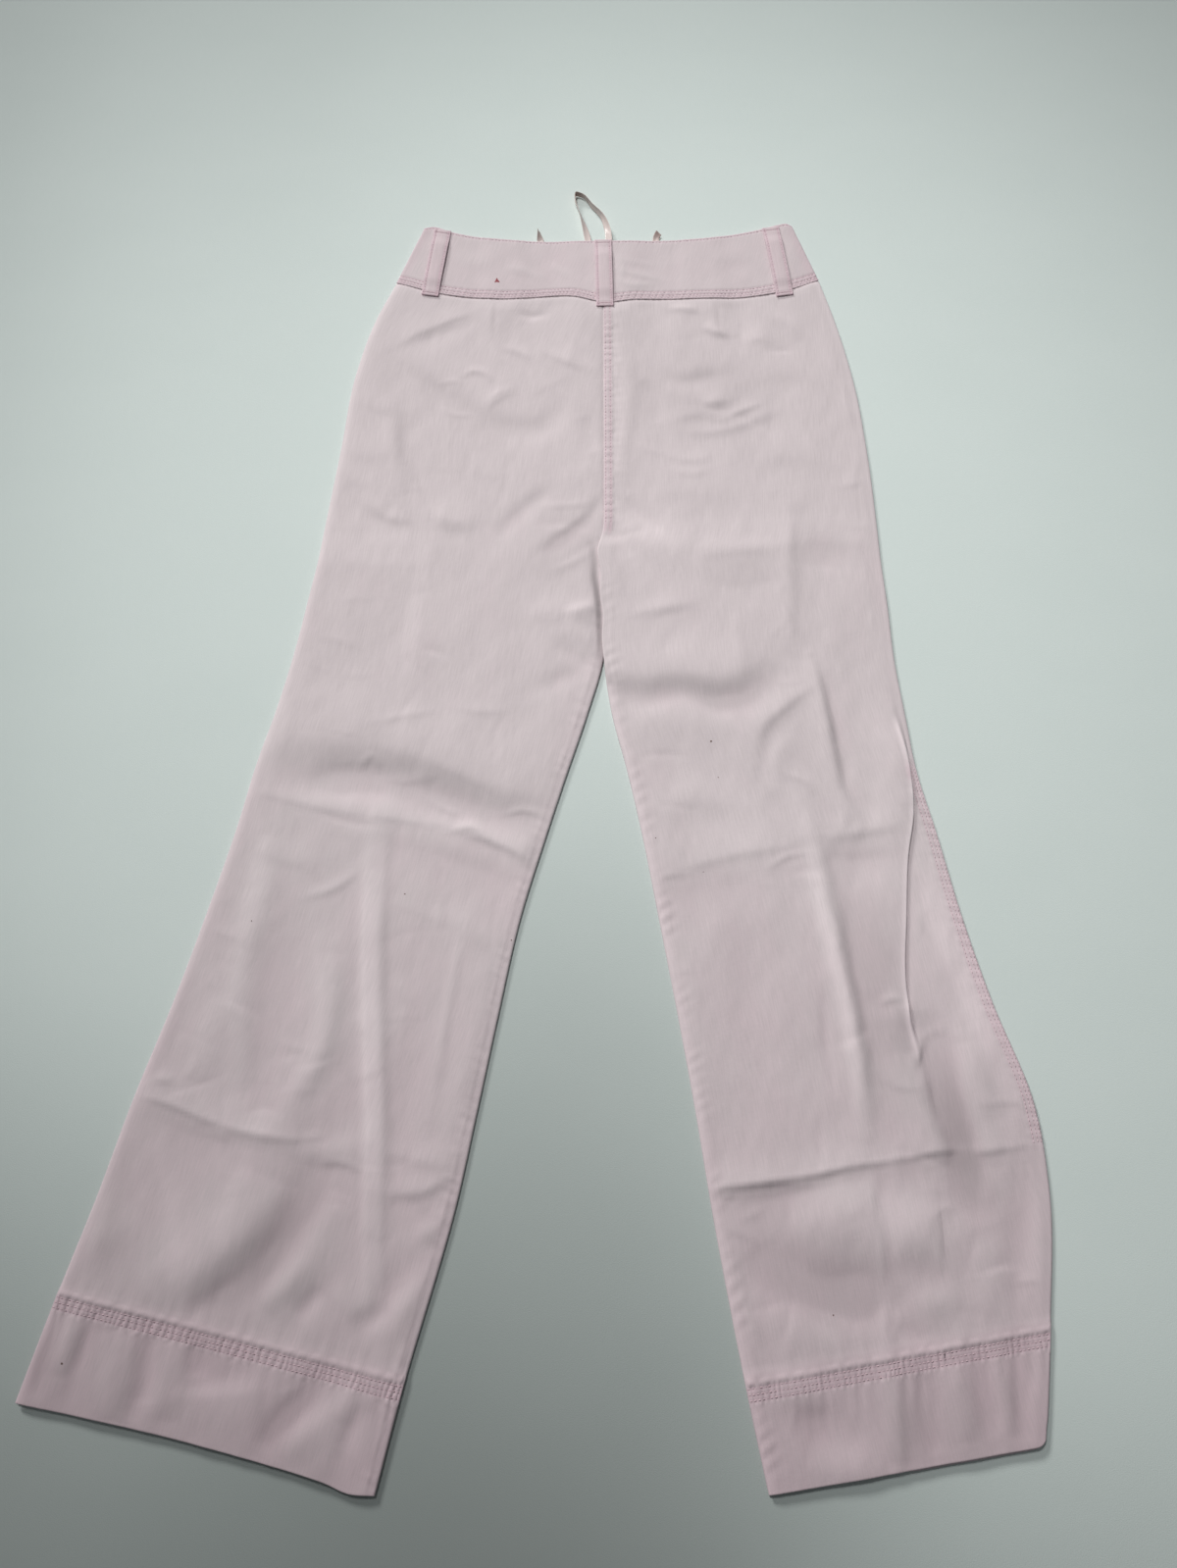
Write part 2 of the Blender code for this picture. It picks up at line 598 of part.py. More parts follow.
def fly():
    """Zip tape and underlap behind the centre front seam, and the flat hook and bar of the lap."""
    top = float(line(FRONT_SEAM, SEAM_X)) - 1.0
    zip_low = FRONT_TOP + GAP
    flat_strip("fly_zip", SEAM_X - ZIP_WIDTH / 2, SEAM_X + ZIP_WIDTH / 2, FLY_BOTTOM + 6, top,
               zip_low, ZIP_THICK, "zip")
    flat_strip("fly_shield", SEAM_X - FLY_WIDTH / 2, SEAM_X + FLY_WIDTH / 2, FLY_BOTTOM, top,
               zip_low + ZIP_THICK + GAP, PLY, "cotton", taper=FLY_ROUND)
    bottom = top + CATCH_UP - CATCH_LENGTH / 2
    for name, left in (("waist_hook", SEAM_X - 1 - CATCH_WIDTH), ("waist_bar", SEAM_X + 1)):
        flat_strip(name, left, left + CATCH_WIDTH, bottom, bottom + CATCH_LENGTH,
                   BAND_PLY + GAP, CATCH_THICK, "metal")


def ribbon(name):
    """A flat ribbon along its route, its width turned by the tilt."""
    rows = np.array(RIBBONS[name], float)
    run = np.concatenate([[0.0], np.cumsum(np.linalg.norm(np.diff(rows[:, :3], axis=0), axis=1))])
    at = np.linspace(0.0, run[-1], int(run[-1] / RIBBON_STEP) + 2)
    route = smooth(run, rows, at)
    middle, tilt = route[:, :3], np.radians(route[:, 3])
    along = np.gradient(middle, axis=0)
    flat = np.stack([-along[:, 1], along[:, 0], np.zeros(len(at))], axis=1)
    flat /= np.linalg.norm(flat, axis=1, keepdims=True)
    across = flat * np.cos(tilt)[:, None] + np.array([0.0, 0.0, 1.0]) * np.sin(tilt)[:, None]
    half = across * RIBBON_WIDTH / 2
    centre = np.stack([middle - half, middle + half], axis=1)
    return wall(name, centre, RIBBON_THICK / 2, RIBBON_THICK / 2, "satin")


def main():
    for item in list(bpy.data.objects):
        bpy.data.objects.remove(item)
    leg_back_left()
    leg_back_right()
    leg_front("left", LEFT_SECTIONS, True)
    leg_front("right", RIGHT_SECTIONS, False)
    waistband_back()
    for side in ("left", "right"):
        waistband_front(side)
        belt_loop_front(side)
    for side in BACK_LOOPS:
        belt_loop_back(side)
    fly()
    for name in RIBBONS:
        ribbon(name)


main()
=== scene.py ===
import math

import bpy
import numpy as np
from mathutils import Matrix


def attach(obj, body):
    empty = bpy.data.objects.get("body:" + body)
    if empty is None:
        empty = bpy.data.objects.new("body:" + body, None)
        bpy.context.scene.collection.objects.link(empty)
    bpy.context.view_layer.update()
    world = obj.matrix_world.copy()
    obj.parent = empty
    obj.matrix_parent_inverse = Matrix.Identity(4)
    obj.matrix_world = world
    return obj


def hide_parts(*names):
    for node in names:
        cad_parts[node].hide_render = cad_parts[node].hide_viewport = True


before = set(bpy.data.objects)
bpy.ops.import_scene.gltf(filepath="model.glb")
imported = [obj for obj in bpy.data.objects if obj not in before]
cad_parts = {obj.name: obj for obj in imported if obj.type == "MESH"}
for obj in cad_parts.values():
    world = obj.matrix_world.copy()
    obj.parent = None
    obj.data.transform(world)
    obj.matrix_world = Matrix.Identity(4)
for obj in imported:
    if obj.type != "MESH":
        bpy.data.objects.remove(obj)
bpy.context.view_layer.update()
millimetre = 0.001
centreShift = (-5.0, 0.1)  # moves the tables' middle over the origin
print("frame loaded:", len(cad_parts), "nodes")


# Camera, where the photograph was taken from

photoCamera = {"x": 33.4, "y": -270.3, "height": 977.6, "tilt": 15.0, "lens": 28.14, "sensor": 36.0}


def addCamera():
    values = photoCamera
    lens = bpy.data.cameras.new("photoCamera")
    lens.lens, lens.sensor_width = values["lens"], values["sensor"]
    lens.clip_start, lens.clip_end = 0.01, 20.0
    camera = bpy.data.objects.new("photoCamera", lens)
    camera.location = [values[key] * millimetre for key in ("x", "y", "height")]
    camera.rotation_euler = (math.radians(values["tilt"]), 0.0, 0.0)
    bpy.context.scene.collection.objects.link(camera)
    bpy.context.scene.camera = camera


addCamera()
print("camera placed")


# Curves and soft steps that every piece uses

def smoothCurve(keys, values, at):  # a cubic curve through the values
    keys, values = np.asarray(keys, float), np.asarray(values, float)
    if keys[0] > keys[-1]:
        keys, values = keys[::-1], values[::-1]
    at = np.clip(np.asarray(at, float), keys[0], keys[-1])
    slopes = np.gradient(values, keys, axis=0)
    cell = np.clip(np.searchsorted(keys, at, side="right") - 1, 0, len(keys) - 2)
    span = keys[cell + 1] - keys[cell]
    t = (at - keys[cell]) / span
    if values.ndim > 1:
        t, span = t[..., None], span[..., None]
    start = values[cell] * (2 * t**3 - 3 * t**2 + 1) + slopes[cell] * span * (t**3 - 2 * t**2 + t)
    end = values[cell + 1] * (3 * t**2 - 2 * t**3) + slopes[cell + 1] * span * (t**3 - t**2)
    return start + end


def softStep(value, low, high):  # 0 below low, 1 above high; low may be above high
    t = np.clip((np.asarray(value, float) - low) / (high - low), 0.0, 1.0)
    return t * t * (3.0 - 2.0 * t)


def plateau(value, centre, half, fade):
    return softStep(np.abs(value - centre), half + fade, half)


def bump(value, centre, width):
    return np.exp(-((value - centre) / width) ** 2)


def lineOver(table, x):
    points = np.array(table, float)
    return smoothCurve(points[:, 0], points[:, 1], x)


def runOf(points):  # distance along a route to each of its points
    return np.concatenate([[0.0], np.cumsum(np.linalg.norm(np.diff(points, axis=0), axis=1))])


def routeThrough(points, count):  # evenly spaced points of a smooth route
    points = np.array(points, float)
    run = runOf(points[:, :2])
    return smoothCurve(run, points, np.linspace(0.0, run[-1], count))


def ripples(along, period, seed, waves=6):  # irregular small waves between -1 and 1
    rng = np.random.default_rng(seed)
    total = np.zeros_like(along, dtype=float)
    for _ in range(waves):
        wave = period * rng.uniform(0.7, 1.6)
        total += np.sin(2 * math.pi * along / wave + rng.uniform(0, 2 * math.pi))
    return np.tanh(0.6 * total)


def rumple(x, y, size, seed, waves=16):  # uneven cloth, about -2 to 2
    rng = np.random.default_rng(seed)
    total = np.zeros_like(x, dtype=float)
    for _ in range(waves):
        turn, wave = rng.uniform(0, math.pi), size * rng.uniform(0.6, 1.7)
        phase = rng.uniform(0, 2 * math.pi)
        total += np.sin(2 * math.pi * (x * math.cos(turn) + y * math.sin(turn)) / wave + phase)
    return total / math.sqrt(waves)


# Creases: name, points of the crest, width on the left and the right of its direction, height, power.
# A low power gives a sharp crest, a high one a flat top. Troughs have a height below 0.

creaseShape = {"points": 25, "reach": 2.6, "ends": 0.03, "taper": 0.7}


def creased(x, y, creases):
    total = np.zeros_like(x)
    for _name, points, sides, height, power in creases:
        spine = routeThrough(points, creaseShape["points"])
        reach = creaseShape["reach"] * max(sides)
        near = ((x > spine[:, 0].min() - reach) & (x < spine[:, 0].max() + reach)
                & (y > spine[:, 1].min() - reach) & (y < spine[:, 1].max() + reach))
        if not near.any():
            continue
        px, py = x[near][:, None], y[near][:, None]
        step = np.diff(spine[:, :2], axis=0)
        toX, toY = px - spine[:-1, 0], py - spine[:-1, 1]
        share = np.clip((toX * step[:, 0] + toY * step[:, 1]) / (step**2).sum(axis=1), 0.0, 1.0)
        offX, offY = toX - share * step[:, 0], toY - share * step[:, 1]
        away = np.hypot(offX, offY)
        cell = away.argmin(axis=1)
        pick = (np.arange(len(cell)), cell)
        onLeft = step[cell, 0] * offY[pick] - step[cell, 1] * offX[pick] > 0
        width = np.where(onLeft, sides[0], sides[1])
        along = (cell + share[pick]) / (len(spine) - 1)
        inside = np.clip(along, creaseShape["ends"], 1.0 - creaseShape["ends"])
        taper = np.sin(math.pi * inside) ** creaseShape["taper"]
        total[near] += height * taper * np.exp(-(away[pick] / width) ** power)
    return total


# Finishes. A relief is the bump's distance and strength. A stretch below 1 draws a pattern out lengthways,
# and one above 1 shortens it.

clothFinish = {
    "pale": (0.735, 0.655, 0.672),  # the washed face
    "pink": (0.700, 0.520, 0.580),  # seams, edges and shaded folds
    "roughness": 0.86, "sheen": 0.12, "sheenRoughness": 0.5, "gloss": 0.25,
    "noises": {  # stretch, scale, detail, share of the pink, share of the relief
        "slubs": (0.05, 1100.0, 4.0, 0.216, 0.9),  # long thin threads
        "bands": (0.12, 160.0, 3.0, 0.108, 0.0),
        "clouds": (0.7, 22.0, 3.0, 0.30, 0.0),
        "lint": (1.0, 2600.0, 1.0, 0.0, 0.0),
        "nap": (1.0, 330.0, 2.0, 0.0, 1.1),
    },
    "light": 0.95, "lintLight": 0.10, "slubLight": (0.26, 0.87),
    "twill": 0.62, "twillSlant": 0.7, "twillRelief": 0.14,  # twill: from rib to rib, across the leg
    "crumple": 4.0, "crumpleStretch": 0.55, "crumpleScale": 38.0, "crumpleDetail": 4.0,
    "relief": (0.00012, 0.55),
}
trimFinish = {**clothFinish, "pale": (0.735, 0.630, 0.655)}
threadFinish = {"colour": (0.70, 0.55, 0.59), "dark": 0.86, "roughness": 0.62, "ply": 0.9, "twist": 1.5,
                "wear": 260.0, "sheen": 0.1, "relief": (0.00008, 0.6)}
satinFinish = {"colour": (0.84, 0.74, 0.71), "shade": (0.46, 0.30, 0.26), "roughness": 0.32, "rib": 0.35,
               "ribShade": 0.25, "stretch": 0.06, "relief": (0.00006, 0.5)}
tapeFinish = {"colour": (0.70, 0.54, 0.57), "dark": 0.8, "roughness": 0.7, "rib": 1.2, "ribShade": 0.5,
              "relief": (0.0001, 0.7)}
metalFinish = {"colour": (0.58, 0.58, 0.59), "dark": 0.75, "roughness": 0.28, "grain": 0.6,
               "stretch": 0.1, "relief": (0.00003, 0.5)}
markFinish = {"colour": (0.20, 0.012, 0.022), "edge": (0.42, 0.10, 0.12), "roughness": 0.7,
              "bleed": 900.0, "relief": (0.00005, 0.4)}
speckFinish = {**markFinish, "colour": (0.12, 0.075, 0.06), "edge": (0.26, 0.17, 0.15), "roughness": 0.8}
floorFinish = {
    "colour": (0.725, 0.815, 0.788), "other": (0.780, 0.865, 0.838), "roughness": 0.8,
    "noises": [(1.6, 9.0, 4.0, 0.7), (0.3, 260.0, 2.0, 0.3)],  # stretch, scale, detail, share of other
    "weave": 1500.0, "relief": (0.0003, 0.35),
    # slant, betweenLegs and betweenStretch place the painted shade on the floor
    "slant": -0.36, "betweenLegs": (0.0, -0.27, 0.0), "betweenStretch": 0.6,
    "shades": {  # where a shade begins and ends, and the light there
        "near": ((0.22, 0.78), (1.0, 0.50)),
        "between": ((0.05, 0.36), (0.66, 1.0)),
        "side": ((-0.20, -0.44), (1.0, 1.09)),
    },
}


class Finish:  # the nodes of one material, so that each finish below reads as a few lines

    def __init__(self, name, roughness):
        self.material = bpy.data.materials.new(name)
        self.material.use_nodes = True
        self.tree = self.material.node_tree
        self.shader = self.tree.nodes["Principled BSDF"]
        self.shader.inputs["Roughness"].default_value = roughness

    def node(self, kind, settings=None, **inputs):
        made = self.tree.nodes.new(kind)
        for key, value in (settings or {}).items():
            setattr(made, key, value)
        for key, value in inputs.items():
            socket = made.inputs[int(key[1:])] if key[0] == "i" and key[1:].isdigit() else made.inputs[key]
            if isinstance(value, bpy.types.NodeSocket):
                self.tree.links.new(value, socket)
            else:
                socket.default_value = value
        return made

    def place(self):
        return self.node("ShaderNodeTexCoord").outputs["Object"]

    def attribute(self, name, output="Fac"):
        return self.node("ShaderNodeAttribute", {"attribute_name": name}).outputs[output]

    def math(self, operation, a, b=0.0):
        return self.node("ShaderNodeMath", {"operation": operation}, i0=a, i1=b).outputs[0]

    def total(self, parts, start=0.0):  # a sum of sockets, each by its weight
        for socket, weight in parts:
            if weight:
                part = socket if weight == 1.0 else self.math("MULTIPLY", socket, weight)
                start = self.math("ADD", part, start)
        return start

    def scaled(self, vector, scale):
        return self.node("ShaderNodeVectorMath", {"operation": "MULTIPLY"}, i0=vector, i1=scale).outputs[0]

    def lit(self, colour, light):
        return self.node("ShaderNodeVectorMath", {"operation": "SCALE"}, i0=colour, Scale=light).outputs[0]

    def noise(self, vector, scale, detail=2.0):
        return self.node("ShaderNodeTexNoise", Vector=vector, Scale=scale, Detail=detail).outputs["Fac"]

    def wave(self, direction, period, distortion=0.0):
        # a light and a dark band, each about one period wide
        scale = 1.0 / (period * millimetre) / 6.3
        return self.node("ShaderNodeTexWave", {"bands_direction": direction}, Vector=self.place(),
                         Scale=scale, Distortion=distortion).outputs["Fac"]

    def blend(self, share, first, second):
        first, second = (*first, 1.0), (*second, 1.0)
        return self.node("ShaderNodeMix", {"data_type": "RGBA"}, i0=share, i6=first, i7=second).outputs[2]

    def use(self, colour, height, relief, **sockets):
        distance, strength = relief
        bumped = self.node("ShaderNodeBump", Height=height, Distance=distance, Strength=strength)
        self.tree.links.new(colour, self.shader.inputs["Base Color"])
        self.tree.links.new(bumped.outputs[0], self.shader.inputs["Normal"])
        for key, value in sockets.items():
            self.shader.inputs[key.replace("_", " ")].default_value = value
        return self.material


def darker(values):
    return [values["dark"] * part for part in values["colour"]]


def cottonTwill(name, values):
    made = Finish(name, values["roughness"])
    grain = made.attribute("grain", "Vector")
    noises, pinks, reliefs = {}, [(made.attribute("tone"), 1.0)], []
    for key, (stretch, scale, detail, pink, relief) in values["noises"].items():
        noises[key] = made.noise(made.scaled(grain, (1.0, stretch, 1.0)), scale, detail)
        pinks.append((noises[key], pink))
        reliefs.append((noises[key], relief))
    middle = 0.5 * sum(row[3] for row in values["noises"].values())
    share = made.node("ShaderNodeMath", {"operation": "SUBTRACT", "use_clamp": True},
                      i0=made.total(pinks), i1=middle).outputs[0]
    colour = made.blend(share, values["pale"], values["pink"])
    gain, least = values["slubLight"]
    # painted light and shade, with some fading, from the mesh brighten or darken the cloth
    light = made.total([(noises["lint"], values["lintLight"]), (made.attribute("fadeAndPaintedLight"), 1.0)], values["light"])
    light = made.math("MULTIPLY", light, made.total([(noises["slubs"], gain)], least))
    parts = made.node("ShaderNodeSeparateXYZ", Vector=grain).outputs
    slant = made.total([(parts[0], 1.0), (parts[1], values["twillSlant"])])
    ribs = made.math("SINE", made.math("MULTIPLY", slant, 2 * math.pi / (values["twill"] * millimetre)))
    crumple = made.node("ShaderNodeTexNoise", {"noise_type": "RIDGED_MULTIFRACTAL"},
                        Vector=made.scaled(grain, (1.0, values["crumpleStretch"], 1.0)),
                        Scale=values["crumpleScale"], Detail=values["crumpleDetail"]).outputs["Fac"]
    height = made.total([*reliefs, (ribs, values["twillRelief"]), (crumple, values["crumple"])])
    return made.use(made.lit(colour, light), height, values["relief"], Sheen_Weight=values["sheen"],
                    Sheen_Roughness=values["sheenRoughness"], Specular_IOR_Level=values["gloss"])


def twistedThread(name, values):
    made = Finish(name, values["roughness"])
    twist = made.wave("DIAGONAL", values["ply"], values["twist"])
    worn = made.noise(made.place(), values["wear"])
    colour = made.blend(made.math("MULTIPLY", twist, worn), values["colour"], darker(values))
    return made.use(colour, twist, values["relief"], Sheen_Weight=values["sheen"])


def satinWeave(name, values):
    made = Finish(name, values["roughness"])
    grain = made.scaled(made.attribute("grain", "Vector"), (1.0, values["stretch"], 1.0))
    floats = made.noise(grain, 1000.0 / values["rib"])
    share = made.total([(made.attribute("tone"), 1.0), (floats, values["ribShade"])])
    colour = made.blend(share, values["colour"], values["shade"])
    return made.use(colour, floats, values["relief"], Anisotropic=0.6, Specular_IOR_Level=0.6)


def ribbedTape(name, values):
    made = Finish(name, values["roughness"])
    ribs = made.wave("Y", values["rib"])
    colour = made.blend(made.math("MULTIPLY", ribs, values["ribShade"]), values["colour"], darker(values))
    return made.use(colour, ribs, values["relief"])


def pressedMetal(name, values):
    made = Finish(name, values["roughness"])
    grain = made.noise(made.scaled(made.place(), (1.0, values["stretch"], 1.0)), 1000.0 / values["grain"])
    colour = made.blend(grain, values["colour"], darker(values))
    return made.use(colour, grain, values["relief"], Metallic=1.0)


def soaked(name, values):  # a spot that has bled into the cloth
    made = Finish(name, values["roughness"])
    spread = made.noise(made.place(), values["bleed"])
    return made.use(made.blend(spread, values["colour"], values["edge"]), spread, values["relief"])


def paintedFloor(name, values):
    made = Finish(name, values["roughness"])
    place = made.place()
    share = made.total([(made.noise(made.scaled(place, (1.0, stretch, 1.0)), scale, detail), part)
                        for stretch, scale, detail, part in values["noises"]])
    colour = made.blend(share, values["colour"], values["other"])
    parts = made.node("ShaderNodeSeparateXYZ", Vector=place).outputs
    flat = made.scaled(place, (1.0, values["betweenStretch"], 0.0))
    measures = {
        "near": made.total([(parts[0], values["slant"]), (parts[1], -1.0)]),
        "between": made.node("ShaderNodeVectorMath", {"operation": "DISTANCE"},
                             i0=flat, i1=values["betweenLegs"]).outputs["Value"],
        "side": parts[0],
    }
    # painted shade and light: darker towards the near end and between the legs, lighter to the left
    for key, (reach, light) in values["shades"].items():
        shade = made.node("ShaderNodeMapRange", {"interpolation_type": "SMOOTHSTEP"}, i0=measures[key],
                          i1=reach[0], i2=reach[1], i3=light[0], i4=light[1]).outputs[0]
        colour = made.lit(colour, shade)
    return made.use(colour, made.noise(place, values["weave"], 1.0), values["relief"])


cotton = cottonTwill("pinkCottonTwill", clothFinish)
trim = cottonTwill("pinkTwillTrim", trimFinish)
thread = twistedThread("pinkSewingThread", threadFinish)
satin = satinWeave("hangerSatin", satinFinish)
tape = ribbedTape("zipTape", tapeFinish)
metal = pressedMetal("pressedCatch", metalFinish)
print("finishes ready")


# Meshes

def addPiece(name, points, faces, material, pointData=None):
    moved = (np.asarray(points, float) + (*centreShift, 0.0)) * millimetre
    moved[:, 2] = np.maximum(moved[:, 2], 0.0)
    mesh = bpy.data.meshes.new(name)
    mesh.from_pydata(moved.tolist(), [], faces)
    for key, values in (pointData or {}).items():
        isVector = values.ndim == 2
        store = mesh.attributes.new(key, "FLOAT_VECTOR" if isVector else "FLOAT", "POINT")
        store.data.foreach_set("vector" if isVector else "value", values.astype(np.float32).ravel())
    mesh.materials.append(material)
    mesh.polygons.foreach_set("use_smooth", [True] * len(mesh.polygons))
    mesh.update()
    piece = bpy.data.objects.new(name, mesh)
    bpy.context.scene.collection.objects.link(piece)
    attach(piece, "root")
    return piece


def gridNormals(centre):
    normal = np.cross(np.gradient(centre, axis=0), np.gradient(centre, axis=1))
    return normal / np.maximum(np.linalg.norm(normal, axis=2, keepdims=True), 1e-9)


def facesBetween(upper, lower):  # the denser row has a whole multiple of the other's cells
    cells = min(len(upper), len(lower)) - 1
    a, b = (len(upper) - 1) // cells, (len(lower) - 1) // cells
    return [lower[i * b:(i + 1) * b + 1] + upper[i * a:(i + 1) * a + 1][::-1] for i in range(cells)]


wallEdge = {"thin": 0.62, "bulge": 0.22}  # share of the thickness left, and how far its middle stands out


# A wall of cloth with rounded edges; gives the piece, its upper face as a grid and that face's normals.
# Rows may skip columns: every holds each row's step.

def clothWall(name, centre, above, below, material, grain, tone, every=None, bulge=wallEdge["bulge"],
              fadeAndPaintedLight=None):
    rows, columns = centre.shape[:2]
    every = [1] * rows if every is None else every
    normal = gridNormals(centre)
    thin = np.ones((rows, columns, 1))
    thin[[0, -1]] = wallEdge["thin"]
    thin[:, [0, -1]] = wallEdge["thin"]
    outer = centre + normal * np.broadcast_to(above, (rows, columns))[..., None] * thin
    inner = centre - normal * np.broadcast_to(below, (rows, columns))[..., None] * thin
    keep = np.zeros((rows, columns), bool)
    for row, step in enumerate(every):
        keep[row, ::step] = True
    size = int(keep.sum())
    number = np.zeros((rows, columns), int)
    number[keep] = np.arange(size)
    faces = []
    for row in range(rows - 1):
        upper = number[row, ::every[row]].tolist()
        lower = number[row + 1, ::every[row + 1]].tolist()
        made = facesBetween(upper, lower)
        faces += made
        faces += [[size + corner for corner in reversed(face)] for face in made]
    rim = [(0, c) for c in range(0, columns, every[0])]
    rim += [(r, columns - 1) for r in range(1, rows)]
    rim += [(rows - 1, c) for c in range(columns - 1 - every[-1], -1, -every[-1])]
    rim += [(r, 0) for r in range(rows - 2, 0, -1)]
    rimRow, rimColumn = np.array(rim).T
    inwards = centre[np.clip(rimRow, 1, rows - 2), np.clip(rimColumn, 1, columns - 2)]
    edge = centre[rimRow, rimColumn]
    outwards = (edge - inwards) / np.maximum(np.linalg.norm(edge - inwards, axis=1), 1e-9)[:, None]
    middle = 0.5 * (outer + inner)[rimRow, rimColumn] + outwards * bulge
    first = number[rimRow, rimColumn].tolist()
    for here in range(len(rim)):
        after = (here + 1) % len(rim)
        a, b, c, d = first[here], first[after], 2 * size + after, 2 * size + here
        faces += [[a, b, c, d], [d, c, size + b, size + a]]
    points = np.concatenate([outer[keep], inner[keep], middle])

    def perPoint(values):
        return np.concatenate([values[keep], values[keep], values[rimRow, rimColumn]])

    data = {"grain": perPoint(grain) * millimetre, "tone": perPoint(tone)}
    # painted light and shade, with some fading, kept for each point
    if fadeAndPaintedLight is not None:
        data["fadeAndPaintedLight"] = perPoint(fadeAndPaintedLight)
    return addPiece(name, points, faces, material, data), outer, normal


def grainOf(across, along, offset):  # where the threads run, each panel in its own piece of weave
    return np.dstack([across + offset, along, np.full(across.shape, offset)])


# Sewing thread: the stitches of a seam, all its rows, are one joined mesh

stitching = {"pitch": 3.2, "length": 2.4, "thick": 0.66, "sides": 5,
             "dip": 0.35, "rings": (0.2, 0.8), "rise": 0.04}


def onGrid(grid, rowPlace, columnPlace):  # a point between the grid's points
    rows, columns = grid.shape[:2]
    rowPlace, columnPlace = np.clip(rowPlace, 0, rows - 1.001), np.clip(columnPlace, 0, columns - 1.001)
    r, c = rowPlace.astype(int), columnPlace.astype(int)
    u, v = (rowPlace - r)[:, None], (columnPlace - c)[:, None]
    top = grid[r, c] * (1 - v) + grid[r, c + 1] * v
    return top * (1 - u) + (grid[r + 1, c] * (1 - v) + grid[r + 1, c + 1] * v) * u


def seamLine(surface, normal, rowPlace, columnPlace):
    return onGrid(surface, rowPlace, columnPlace), onGrid(normal, rowPlace, columnPlace)


def rowLine(wall, place, across):  # one line along a row of the wall's grid
    return seamLine(*wall, np.full(len(across), place), across)


def stitchEnds(line, pitch, length):
    points, normals = line
    run = runOf(points)
    middles = np.arange(0.5 * pitch, run[-1] - 0.4 * pitch, pitch)

    def at(places, values):
        return np.stack([np.interp(places, run, values[:, axis]) for axis in range(3)], axis=1)

    return at(middles - length / 2, points), at(middles + length / 2, points), at(middles, normals)


def addStitches(name, lines, pitch=None, length=None, thick=None):
    values = stitching
    pitch, length = pitch or values["pitch"], length or values["length"]
    thick, sides = thick or values["thick"], values["sides"]
    ends = [stitchEnds(line, pitch, length) for line in lines]
    start, end, up = (np.concatenate([part[i] for part in ends]) for i in range(3))
    up = up / np.linalg.norm(up, axis=1, keepdims=True)
    run = end - start
    side = np.cross(up, run)
    side /= np.maximum(np.linalg.norm(side, axis=1, keepdims=True), 1e-9)
    dip = up * (thick * values["dip"])  # both ends go down into the cloth
    start, end = start - dip, end - dip
    rings = [start]
    for share in values["rings"]:
        middle = start + run * share + dip + up * values["rise"]
        for corner in range(sides):
            turn = 2 * math.pi * corner / sides
            rings.append(middle + (side * math.cos(turn) + up * math.sin(turn)) * (thick / 2))
    rings.append(end)
    points = np.stack(rings, axis=1)
    last = 2 * sides + 1
    pattern = []
    for corner in range(sides):
        after = (corner + 1) % sides
        a, b, c, d = 1 + corner, 1 + after, 1 + sides + after, 1 + sides + corner
        pattern += [[0, b, a], [a, b, c, d], [d, c, last]]
    count = points.shape[1]
    faces = [[stitch * count + corner for corner in face] for stitch in range(len(points)) for face in pattern]
    return addPiece(name, points.reshape(-1, 3), faces, thread)


# Satin hanger loops: the free loop at the centre back comes first

ribbonRoutes = {  # x, y, z of the middle, and the tilt of the width from flat
    "ribbon_loop_centre": [
        (38, 503, 3.9, 0), (38, 514, 3.9, 0), (35.5, 528, 3.6, 30), (30, 548, 3.4, 75),
        (26, 561, 3.4, 90), (26.5, 567.5, 3.4, 90), (32, 566, 3.4, 90), (42, 554, 3.4, 80),
        (51, 543, 3.4, 65), (55.5, 531, 3.6, 35), (57.5, 516, 3.9, 5), (58, 503, 3.9, 0),
    ],
    "ribbon_tip_left": [
        (-6.5, 507, 1.9, 0), (-6.5, 512, 1.9, 0), (-6.6, 517, 2.0, 0), (-7, 520.5, 2.9, 35),
        (-7.5, 524, 3.5, 60), (-8, 527, 3.6, 70),
    ],
    "ribbon_tip_right": [
        (101, 507, 1.9, 0), (101, 512, 1.9, 0), (101.2, 517, 2.0, 0), (102.2, 521, 2.9, 14),
        (104.2, 524, 4.2, 24),
    ],
}
ribbonCut = {"width": 6.0, "thick": 0.5, "step": 0.7, "columns": 9, "cup": 0.35, "bulge": 0.1}
# bend and tilted are painted shade: darker at the loop's fold and at each tip's end, and where the ribbon
# stands up from flat; edge is its darker edges
ribbonTones = {"bend": 0.55, "bendLength": 7.0, "tilted": 0.15, "edge": 0.15}


